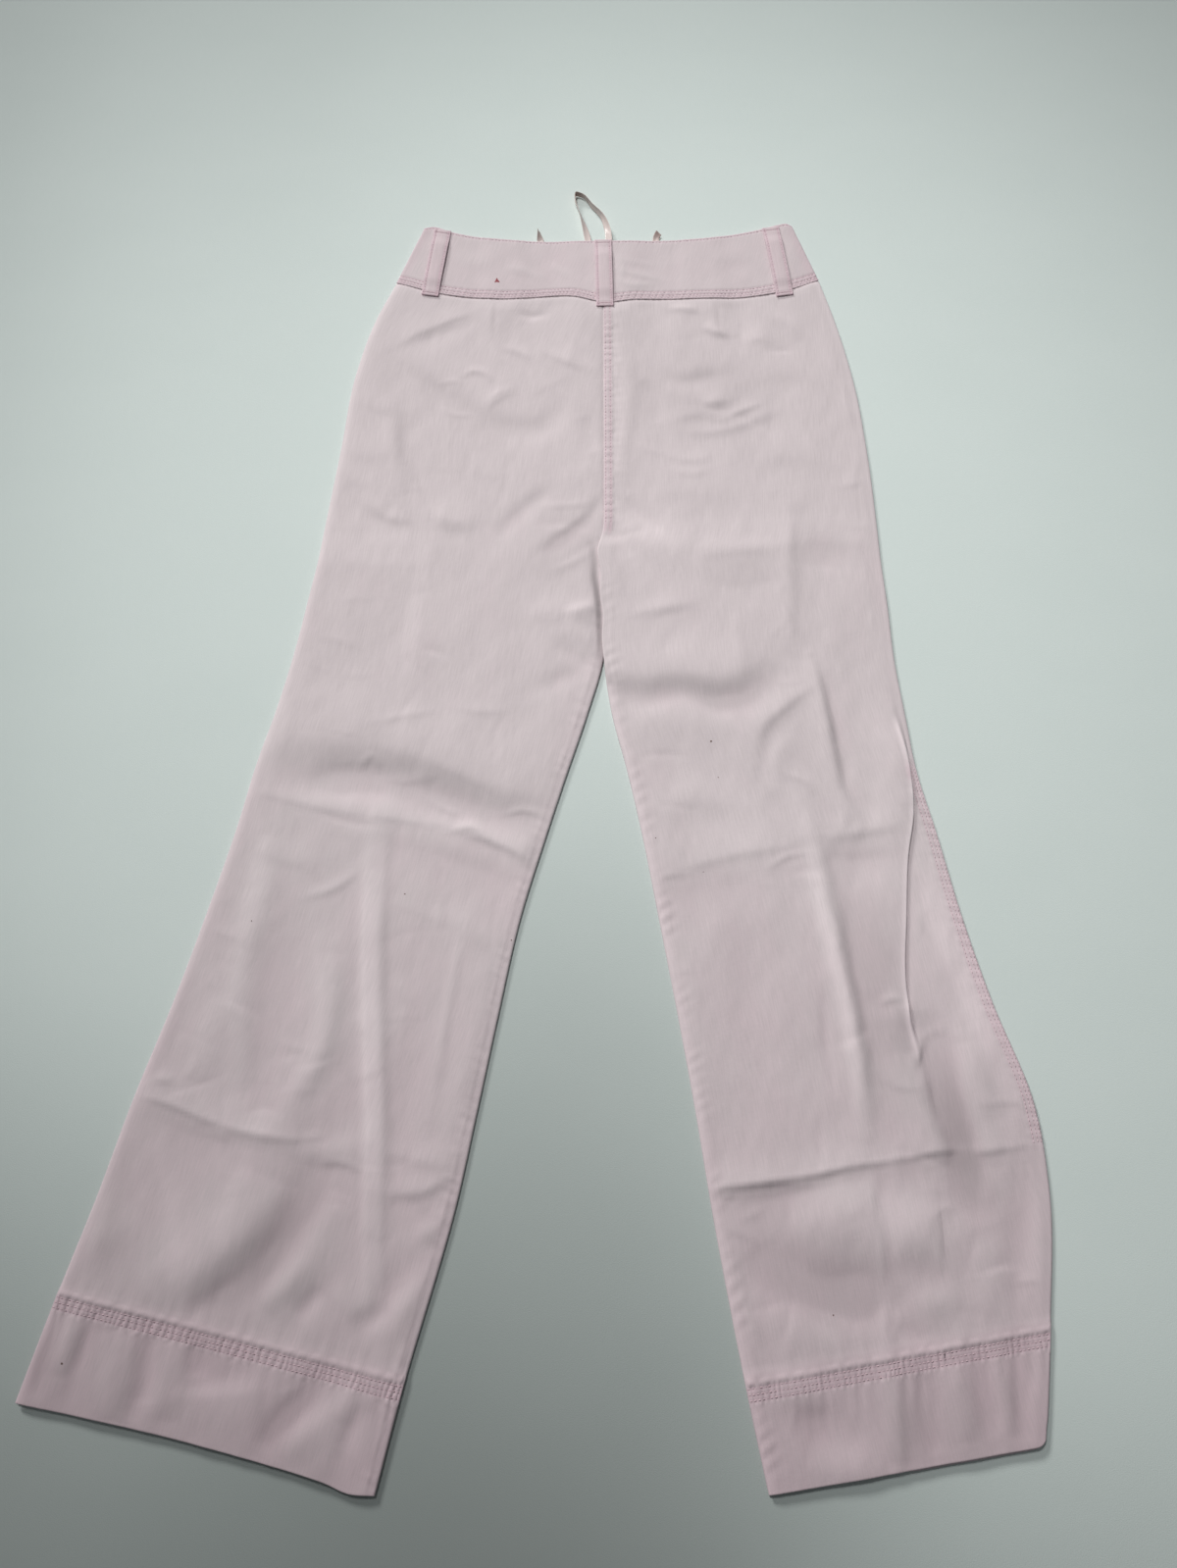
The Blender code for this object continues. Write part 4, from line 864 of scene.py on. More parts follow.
# Painted light and shade, with some fading: name, points, widths, amount, power. Most rows paint highlights on
# crests and shade in folds and troughs; the pressed strip is partly a real fade.
leftLightAndFadeRows = [
    ("seat strip", [(-103, 224), (-105, 188), (-112, 132), (-115, 94), (-116, 57)], (7, 7), 0.07, 6),
    ("hip band", [(-199, 202), (-162, 202), (-133, 201), (-98, 200)], (15, 15), 0.08, 6),
    ("seat shade", [(-140, 371), (-101, 352), (-63, 327), (-22, 319), (12, 329)], (18, 15), -0.05, 3),
    ("seat shade outer", [(-130, 353), (-124, 308), (-114, 260)], (9, 9), -0.05, 3),
    ("seat shade inner", [(4, 399), (25, 367), (19, 329)], (16, 16), -0.03, 3),
    # painted shadow in the gap between the legs
    ("fork gap", [(40, 207), (43, 194), (43, 180), (46, 156), (48, 121), (49, 85)], (3.0, 3.0), -0.5, 3),
    ("fork shade", [(52, 242), (32, 217), (6, 192), (-13, 174)], (16, 16), -0.1, 3),
    ("back seam shade", [(48, 447), (50, 367), (51, 268)], (3, 9), -0.06, 2),
    ("leg strip", [(-131, -8), (-133, -50), (-134, -99), (-132, -156), (-128, -220), (-123, -282),
     (-119, -352)], (8.6, 8.6), 0.09, 8),
    ("leg strip low", [(-137, -70), (-135, -125), (-133, -175), (-127, -255), (-124, -311), (-123, -362),
     (-118, -423), (-115, -445)], (7.6, 7.6), 0.1, 8),
    ("outer streak", [(-221, -50), (-225, -94), (-235, -149)], (10, 10), 0.06, 2),
    ("outer streak low", [(-168, -142), (-167, -215), (-179, -251), (-196, -284)], (12, 12), 0.05, 2),
    ("knee band", [(-237, -6), (-198, -16), (-163, -21), (-129, -27), (-90, -38), (-51, -49), (2, -72)],
     (12, 10), 0.05, 3),
    ("thigh shade", [(-213, 4), (-165, 8), (-121, 8), (-86, -5), (-52, -19), (1, -32)], (11, 10), -0.08, 3),
    ("calf streak", [(-227, -91), (-234, -142), (-237, -191), (-230, -223), (-232, -261)], (8, 8), 0.06, 2),
    ("calf streak outer", [(-250, -176), (-257, -210), (-268, -249)], (9, 9), 0.06, 2),
    ("shin patch", [(-238, -288), (-213, -290), (-184, -293)], (16, 12), 0.07, 3),
    ("valley shade", [(-169, -298), (-177, -327), (-191, -356), (-207, -378), (-224, -394), (-257, -414)],
     (25, 24), -0.18, 2.4),
    ("bank light", [(-209, -347), (-238, -373), (-274, -390), (-301, -401)], (22, 26), 0.08, 3),
    ("hem light", [(-266, -478), (-230, -478), (-194, -476)], (20, 26), 0.06, 3),
    ("hem light inner", [(-121, -471), (-138, -490), (-155, -517)], (24, 20), 0.07, 3),
    ("hem shade", [(-360, -420), (-363, -445), (-365, -471)], (12, 12), -0.06, 3),
    ("hem shade inner", [(-158, -457), (-172, -479), (-198, -506)], (12, 10), -0.08, 3),
    ("shin line", [(-317, -254), (-281, -264), (-256, -274), (-226, -282), (-200, -286), (-174, -290)],
     (3, 2), 0.09, 2),
    ("shin line inner", [(-168, -306), (-149, -306), (-125, -312), (-106, -311), (-84, -298)], (3, 2), 0.07, 2),
    ("shin line shade", [(-311, -263), (-278, -274), (-255, -282), (-225, -292), (-180, -298)],
     (7, 14), -0.05, 2),
    ("dart line", [(-48, 453), (-48, 432), (-49, 407)], (1.7, 1.7), -0.1, 2),
    ("knee line", [(-256, -13), (-207, -26), (-138, -40), (-75, -49), (-39, -58), (-17, -68), (5, -84)],
     (3, 2), 0.07, 2),
    ("calf streak pale", [(-289, -284), (-276, -339), (-268, -392)], (9, 9), 0.07, 2),
    ("calf streak dark", [(-316, -303), (-322, -362), (-329, -401)], (10, 10), -0.06, 2),
    ("calf streak two", [(-224, -303), (-232, -331), (-243, -381)], (8, 8), 0.05, 2),
    ("calf broad light", [(-243, -245), (-242, -303)], (26, 26), 0.04, 3),
]
# Painted light and shade of the right leg, as above.
rightLightAndFadeRows = [
    ("seat shade", [(80, 367), (107, 340), (144, 329), (185, 336)], (22, 18), -0.05, 3),
    ("seat shade high", [(101, 377), (135, 371), (170, 381)], (10, 10), -0.03, 3),
    ("hip band", [(73, 216), (175, 217), (291, 224)], (15, 14), 0.05, 5),
    ("seat line", [(61, 443), (70, 391), (73, 340), (67, 287)], (3, 4), -0.05, 2),
    ("thigh patch", [(65, 206), (95, 202), (128, 198)], (44, 44), 0.05, 4),
    ("thigh shade", [(136, 181), (164, 177), (187, 180), (207, 185)], (14, 12), -0.08, 6),
    ("outer shade", [(214, 197), (243, 195), (276, 192)], (15, 10), -0.06, 6),
    ("outer side", [(227, 254), (225, 202), (223, 149), (221, 96)], (14, 14), -0.04, 6),
    ("trough shade", [(58, 77), (87, 69), (119, 77), (145, 65), (170, 69), (189, 86), (205, 108)],
     (13, 10), -0.09, 3),
    ("slanting shade", [(223, 66), (205, 53), (186, 33), (180, 14)], (7, 7), -0.1, 3),
    ("break shade", [(228, 101), (234, 80), (239, 55), (245, 15), (253, -25), (263, -45)], (3, 3), -0.12, 3),
    ("crest light", [(193, -11), (207, -23), (215, -42), (221, -65), (228, -108), (237, -156), (244, -193),
     (247, -238), (247, -282)], (8, 8), 0.08, 4),
    ("crest light low", [(216, -70), (220, -91), (229, -135), (238, -175), (245, -217), (249, -255),
     (250, -286)], (8, 8), 0.08, 4),
    ("crest shade", [(245, -80), (257, -127), (263, -183), (267, -238), (270, -286)], (20, 20), -0.07, 5),
    ("crest shade low", [(246, -91), (257, -135), (265, -175), (271, -217), (276, -255), (274, -286)],
     (20, 20), -0.07, 5),
    ("strip light", [(308, -60), (319, -118), (338, -174), (356, -229), (371, -269)], (20, 12), 0.15, 4),
    ("tuck shade", [(308, -215), (317, -247), (317, -282), (324, -320)], (14, 12), -0.08, 3),
    ("valley shade", [(309, -239), (318, -274), (325, -305), (331, -335), (339, -356)], (16, 14), -0.2, 3),
    ("calf light", [(217, -329), (245, -344), (282, -356), (304, -358)], (32, 32), 0.09, 3),
    ("smile shade", [(163, -344), (180, -376), (205, -392), (235, -398), (270, -392), (305, -387)],
     (26, 24), -0.13, 3),
    ("fold light", [(250, -317), (254, -344), (257, -376), (256, -443), (257, -515)], (5, 5), 0.06, 4),
    ("hem light", [(193, -512), (223, -515), (254, -512)], (22, 26), 0.07, 3),
    ("hem shade", [(186, -487), (200, -490), (218, -489)], (16, 16), -0.08, 3),
    ("hem shade right", [(257, -451), (262, -487), (267, -519)], (30, 12), -0.09, 4),
    ("edge light", [(391, -286), (383, -362), (376, -434), (368, -501)], (8, 10), 0.09, 4),
    ("shin line", [(97, -329), (133, -324), (180, -319), (218, -312), (260, -305), (309, -297), (353, -295),
     (382, -291)], (3, 2), 0.09, 2),
    ("shin line shade", [(100, -337), (133, -332), (179, -327), (218, -320), (259, -314), (308, -307),
     (375, -302)], (7, 16), -0.07, 2),
    ("shin line dark", [(97, -332), (133, -328), (179, -323), (218, -317), (247, -312)], (2.4, 2.6), -0.12, 2),
    ("dart line", [(155, 453), (156, 436), (157, 414)], (1.7, 1.7), -0.1, 2),
    ("knee light", [(119, -34), (167, -50), (198, -75)], (34, 34), 0.07, 3),
    ("seat broad shade", [(118, 378), (162, 358), (207, 363)], (30, 30), -0.07, 3),
    ("strip pink light", [(300, -91), (315, -154), (334, -215), (349, -260)], (22, 22), 0.07, 3),
    ("hem shade outer", [(315, -454), (323, -487), (324, -513)], (30, 30), -0.04, 4),
]
frontCreases = [  # hidden, so guessed: what a leg that is laid down keeps
    ("front leg crease left", [(-96, 220), (-118, 20), (-160, -300)], (9, 9), 0.5, 1.8),
    ("front leg crease right", [(176, 220), (196, 20), (240, -300)], (9, 9), 0.5, 1.8),
    ("front knee left", [(-236, -70), (-120, -92), (-20, -96)], (12, 7), 0.5, 2),
    ("front knee right", [(92, -96), (200, -84), (316, -70)], (12, 7), 0.5, 2),
    ("front whisker left", [(34, 300), (-30, 282), (-100, 290)], (8, 6), 0.4, 1.8),
    ("front whisker right", [(74, 300), (140, 284), (210, 292)], (8, 6), 0.4, 1.8),
]


def frontDip(x):
    seam = waist["seam"]
    middle, half = 0.5 * (seam[0][0] + seam[-1][0]), 0.5 * (seam[-1][0] - seam[0][0])
    away = np.clip(np.abs(x - middle) / half, 0.0, 1.0)
    return waist["frontDip"] * np.cos(0.5 * math.pi * away) ** 2


def loopsAcross(x, ease, fade):
    half = loopCut["width"] / 2 + ease
    return sum(plateau(x, loopX, half, fade) for loopX in loopCut["frontX"].values())


def frontLoopLift(x, y):
    across = loopsAcross(x, loopCut["ease"] / 2, loopCut["fade"] - 4.0)
    down = softStep(y - lineOver(waist["frontSeam"], x), -loopCut["frontFade"], -loopCut["ease"] / 2)
    return (cloth["loopPly"] + cloth["gap"]) * across * down


def bandLevel(x):
    ply, seam = cloth["bandPly"], waist["seam"]
    ends = ply + cloth["gap"] + ply / 2
    side = np.minimum(x - seam[0][0], seam[-1][0] - x) + waist["past"]
    rolled = ends + (lie["level"] - ends) * softStep(side, *waist["roll"])
    overLap = ply + waist["lapSpace"] + ply + cloth["gap"] + ply / 2 - lie["level"]
    lap = overLap * plateau(x, lie["seamX"], waist["lapHalf"] + waist["past"], waist["lapFade"])
    return rolled + lap + loopCut["overlapRise"] * loopsAcross(x, loopCut["ease"], loopCut["fade"])


def backLevel(x, y):
    ply, gap = cloth["ply"], cloth["gap"]
    flyTop = ply + gap + flyCut["zipThick"] + gap + ply
    overFly = flyTop + gap + ply / 2 - lie["level"] + flyCut["above"]
    across = plateau(x, lie["seamX"], flyCut["width"] / 2 + waist["past"], flyCut["fade"])
    end = flyCut["bottom"] - flyCut["fadeEnd"]
    fly = overFly * across * softStep(y, end - flyCut["fade"], end)
    atWaist = softStep(lineOver(waist["seam"], x) - y, *lie["waistRise"])
    level = lie["level"] + fly
    return level + (np.maximum(bandLevel(x), level) - level) * atWaist
# Panels: dense grids over the same sections

panelGrid = {
    "rowStep": 2.3, "hemRowStep": 1.25, "hemAbove": 7.0, "hemBelow": 15.0, "finer": 3,
    "endRows": (0.0, 0.6, 1.5, 2.6, 4.0),
    "edge": (0.0, 0.6, 1.4, 2.3, 3.2, 4.2, 5.2, 6.2, 7.2, 8.4, 10.0, 12.0), "cells": 85,
    "frontRowStep": 5.0, "frontEdge": (0.0, 0.8, 2.0, 4.0, 7.0), "frontCells": 57,
}
hemSewing = {
    "rows": (1.0, 5.0, 9.0), "rowWidth": 0.9, "channel": 0.32, "pucker": 0.30, "period": 3.9, "puff": 0.55,
    "waves": [  # where they begin and end below the sewn line, height, slant, period, seed
        ((9.0, 13.0), (42.0, 14.0), 0.26, 0.15, 10.0, 2),
        ((-3.0, -6.0), (-34.0, -8.0), 0.16, 0.0, 12.0, 3),
    ],
}
hemOutline = {"bow": 3.4, "bowEnd": 0.9, "dip": 3.0, "dipAt": 0.93, "dipWidth": 0.05, "above": 90.0,
              "cornerAbove": 22.0, "peek": 1.8, "peekAt": (316.0, 40.0, 16.0), "peekAbove": 20.0}
seamSewing = {"rows": (1.5, 4.2, 7.6), "rowWidth": 0.8, "channel": 0.22, "pucker": 0.24, "period": 7.5,
              "top": (14.0, 2.0), "bottom": (-300.0, -286.0), "sewn": (6.0, -296.0)}
inseamSewing = {"pucker": 0.15, "period": 8.5, "reach": 17.0, "line": 0.20, "lineAt": 7.5,
                "below": (200.0, 150.0)}
centreSewing = {"rows": (1.4, 5.8), "rowWidth": 0.8, "band": 7.2, "height": 0.55, "pucker": 0.42,
                "period": 5.2, "channel": 0.3, "ripple": 0.14, "sewn": (446.0, 224.0)}
seamGroove = {"waist": 0.55, "centre": 0.85, "width": 2.2}
unevenCloth = {  # size, height and seed of the waves
    "waves": [(52.0, 0.30, 11), (21.0, 0.12, 12), (9.0, 0.035, 13)], "stretch": 0.55,
}
wornCreases = {
    "count": 95, "turns": [-78.0, -102.0, -60.0, -12.0, 14.0], "turnSpread": 16.0, "half": (9.0, 30.0),
    "bend": 4.0, "left": (2.4, 8.0), "right": (1.6, 4.0), "height": (0.2, 0.62), "power": 1.5,
}
# The crest share is painted light and shade: paler on the crests and pinker in the troughs.
backTones = {  # pinker at seams, edges and hems, paler on the crests and the seat
    "edge": 0.06, "hem": 0.18, "waist": 0.30, "crest": 0.06, "seamBand": 0.36, "low": 0.34, "seat": 0.20,
    "centreLine": 0.30, "centreRows": 0.5, "sideBand": 0.14, "sideRows": 0.34, "hemBand": 0.14, "hemRows": 0.26,
}
# painted light: a highlight along the rolled edges and the tuck's fold, and shade over the hems
backPaintedLight = {"edge": 0.10, "hem": 0.05, "tuck": 0.30}
# the crest share is painted light: paler on the crests
frontTones = {"edge": 0.30, "hem": 0.25, "crest": 0.2}
surfaces = []  # upper faces that the small marks lie on


def levelsOf(table):
    ends = np.array([row[1:] for row in table], float)
    return ends, runOf(0.5 * (ends[:, :2] + ends[:, 2:]))


def rowPlaces(down):  # where a back leg's rows lie, closer at the ends and at the hem's stitches
    length, sewn, step = down[-1], down[-2], panelGrid["rowStep"]
    top, bottom = sewn - panelGrid["hemAbove"], sewn + panelGrid["hemBelow"]
    edge = np.array(panelGrid["endRows"])
    above = np.linspace(edge[-1], top, int((top - edge[-1]) / step))
    hem = np.linspace(top, bottom, int((bottom - top) / panelGrid["hemRowStep"]))
    below = np.linspace(bottom, length - edge[-1], int((length - edge[-1] - bottom) / step))
    at = np.concatenate([edge[:-1], above, hem[1:-1], below, length - edge[-2::-1]])
    isFine = (at > top + 0.1) & (at < bottom - 0.1)
    return at, np.where(isFine, 1, panelGrid["finer"]).tolist()


def columnsAway(width, edge, cells):  # distances from one edge, closer together at both edges
    edge = np.array(edge)
    shares = np.linspace(0.0, 1.0, cells + 1)[1:-1]
    return np.concatenate([np.broadcast_to(edge, (len(width), len(edge))),
                           edge[-1] + (width[:, None] - 2 * edge[-1]) * shares,
                           width[:, None] - edge[::-1]], axis=1)


def fromEdges(away, width, isLeft):  # distances from the outer and the inner edge
    return (away, width[:, None] - away) if isLeft else (width[:, None] - away, away)


def refined(values, times):
    steps = np.arange(times) / times
    cells = values[:, :-1, None] + np.diff(values, axis=1)[..., None] * steps
    return np.concatenate([cells.reshape(len(values), -1), values[:, -1:]], axis=1)


def pointsBetween(first, last, away):
    share = (away / np.linalg.norm(last - first, axis=1)[:, None])[..., None]
    return first[:, None] * (1 - share) + last[:, None] * share


def followWaist(points, seam):
    x, y = points[..., 0], points[..., 1]
    miss = (lineOver(seam, x) - cloth["gap"] / 2 - y)[0]
    points[..., 1] = y + miss * softStep(y[0] - y, lie["waistBend"], 0.0)
    return points


def shapeHem(points, away, awayOuter, width, at, isLeft):  # a slightly bowed edge, or a folded round corner
    values, round_ = hemOutline, lie["hemCorner"]
    if isLeft:
        share = away / width[:, None]
        shape = values["bow"] * np.sin(math.pi * np.clip(share / values["bowEnd"], 0, 1))
        shape = shape - values["dip"] * bump(share, values["dipAt"], values["dipWidth"])
        reach = values["above"]
    else:
        near = np.clip(round_ - awayOuter, 0.0, round_)
        shape = round_ - np.sqrt(round_**2 - near**2)
        reach = values["cornerAbove"]
    points[..., 1] += shape * softStep(at, at[-1] - reach, at[-1])[:, None]
    return points


def rollDown(away):
    near = np.clip(away / lie["roll"], 0.0, 1.0)
    return np.sqrt(1.0 - (1.0 - near) ** 2)


def hemShare(at):
    start = at[-1] - lie["hemDepth"]
    return softStep(at, start - lie["hemFade"], start)[:, None]


def rowBumps(away, values):
    return sum(bump(away, row, values["rowWidth"]) for row in values["rows"])


def backHeights(points, awayOuter, awayInner, at, creases, innerRollY):
    x, y = points[..., 0], points[..., 1]
    hem = hemShare(at)
    edge = cloth["ply"] + cloth["gap"] + cloth["ply"] / 2 + hem * 2 * cloth["hemExtra"]
    level = backLevel(x, y) + hem * lie["hemLift"]
    innerRolls = softStep(y, *innerRollY)
    rolled = rollDown(awayOuter) * (1.0 - innerRolls * (1.0 - rollDown(awayInner)))
    away = np.minimum(awayOuter, np.where(innerRolls > 0.5, awayInner, awayOuter))
    quiet = softStep(away, *lie["edgeCalm"]) * softStep(lineOver(waist["seam"], x) - y, *lie["waistCalm"])
    uneven = sum(high * rumple(x, unevenCloth["stretch"] * y, size, seed)
                 for size, high, seed in unevenCloth["waves"])
    lines = creased(x, y, creases)
    risen = (level - edge) * rolled + (lines + uneven) * quiet
    risen = 0.5 * (risen + np.sqrt(risen**2 + lie["press"] ** 2 * quiet))  # it can't sink into the front
    return edge + risen, lines, away


def hemRelief(at, sewn, awayInner, seed):  # puckers of the rows of stitches, and the puff above them
    values = hemSewing
    below = (at - sewn)[:, None]
    across = awayInner + 0.5 * np.sin(0.21 * awayInner + below * 0.35)
    inside = softStep(below, -1.5, 0.5) * softStep(below, 12.0, 9.5)
    relief = inside * values["pucker"] * ripples(across, values["period"], seed)
    relief = relief - values["channel"] * rowBumps(below, values)
    puff = values["puff"] * (1 + 0.35 * ripples(awayInner, 9.0, seed + 1))
    relief = relief + puff * bump(below, -2.4, 1.8)
    for begin, end, height, slant, period, more in values["waves"]:
        window = softStep(below, *begin) * softStep(below, *end)
        relief = relief + height * window * ripples(awayInner + slant * below, period, seed + more)
    return relief


def sideRelief(away, along, window, seed):  # three rows of stitches inside the outer seam
    values = seamSewing
    drag = softStep(away, 15.0, 5.0)
    relief = values["pucker"] * drag * ripples(along + 0.3 * away, values["period"], seed)
    return (relief - values["channel"] * rowBumps(away, values)) * window


def inseamRelief(away, along, seed):  # the seam below pulls the cloth into short marks
    values = inseamSewing
    near = softStep(away, 0.8, 2.5) * softStep(away, values["reach"], 0.4 * values["reach"])
    marks = ripples(along + 0.5 * away, values["period"], seed) * (1 + 0.8 * ripples(along, 60.0, seed + 9))
    line = values["line"] * bump(away, values["lineAt"], 1.6) * (1 + 0.5 * ripples(along, 24.0, seed + 5))
    return values["pucker"] * near * marks + line


def scattered(points, seed):  # small creases that ordinary wear leaves all over
    values = wornCreases
    rng = np.random.default_rng(seed)
    rows, columns = points.shape[:2]
    made = []
    for number in range(values["count"]):
        row, column = rng.integers(12, rows - 30), rng.integers(30, columns - 30)
        x, y = points[row, column]
        spread, bend = values["turnSpread"], values["bend"]
        turn = math.radians(rng.choice(values["turns"]) + rng.uniform(-spread, spread))
        half, bend = rng.uniform(*values["half"]), rng.uniform(-bend, bend)
        dx, dy = math.cos(turn), math.sin(turn)
        route = [(x - dx * half, y - dy * half), (x - dy * bend, y + dx * bend), (x + dx * half, y + dy * half)]
        sides = (rng.uniform(*values["left"]), rng.uniform(*values["right"]))
        height = rng.choice([-1.0, 1.0]) * rng.uniform(*values["height"])
        made.append((f"worn {number}", route, sides, height, values["power"]))
    return made


# Columns of the right back leg and their lift: down round a fold, back under it, and forward again

def tuckColumns(width, outerY):
    table = np.array(tuck["rows"], float)
    strip, turn, under = smoothCurve(table[:, 0], table[:, 1:], outerY).T
    turn = np.radians(np.clip(turn, 1.0, 180.0))
    radius = tuck["radius"] * math.pi / turn
    under = np.maximum(under, 1.0)
    fold = width - strip
    turned = radius * np.sin(turn) + under * np.cos(turn)
    fallen = radius * (1 - np.cos(turn)) + under * np.sin(turn)
    fall = fallen + radius * (1 - np.cos(turn))
    edge = panelGrid["edge"]
    away = [np.full_like(width, distance) for distance in edge]
    for share in np.linspace(0.0, 1.0, tuck["mainCells"] + 1)[1:-1]:
        away.append(edge[-1] + (fold - tuck["beforeFold"] - edge[-1]) * share)
    lift = [fall * softStep(fold - under - distance, *tuck["slope"]) for distance in away]
    parts = np.linspace(0.0, 1.0, tuck["turnCells"] + 1)
    for part in parts:
        away.append(fold + radius * np.sin(turn * part))
        lift.append(fall - radius * (1 - np.cos(turn * part)))
    for part in parts[::-1]:
        away.append(fold + turned + radius * (np.sin(turn) - np.sin(turn * part)))
        lift.append(radius * (1 - np.cos(turn * part)))
    start, cells = away[-1], tuck["stripCells"]
    for cell in range(1, cells + 1):
        share = 1.0 - (1.0 - cell / cells) ** tuck["stripPower"]  # closer together towards the side seam
        away.append(start + (width - start) * share)
        lift.append(np.zeros_like(width))
    return np.array(away).T, np.array(lift).T, fold, fall


def backSewing(side, wall, leg):  # the rows of stitches that lie on a back leg
    columnNumbers = np.arange(leg["away"].shape[1])
    across = np.linspace(1.0, len(columnNumbers) - 2.0, 500)
    places = [float(np.interp(leg["down"][-2] + row, leg["at"], np.arange(len(leg["at"]))))
              for row in hemSewing["rows"]]
    addStitches(f"hem_back_{side}_stitches", [rowLine(wall, place, across) for place in places])

    def downLines(edge, away, values):  # down the leg, at the rows' distances from an edge
        top, bottom = values["sewn"]
        order = 1 if away[0, 0] < away[0, -1] else -1
        rows = np.where((edge[:, 1] < top) & (edge[:, 1] > bottom))[0]
        return [seamLine(*wall, rows.astype(float),
                         np.array([np.interp(distance, away[row][::order][:90], columnNumbers[::order][:90])
                                   for row in rows])) for distance in values["rows"]]

    if side == "right":
        addStitches("centre_back_stitches", downLines(leg["first"], leg["awayInner"], centreSewing))
        addStitches("side_seam_right_stitches", downLines(leg["last"], leg["awayOuter"], seamSewing))


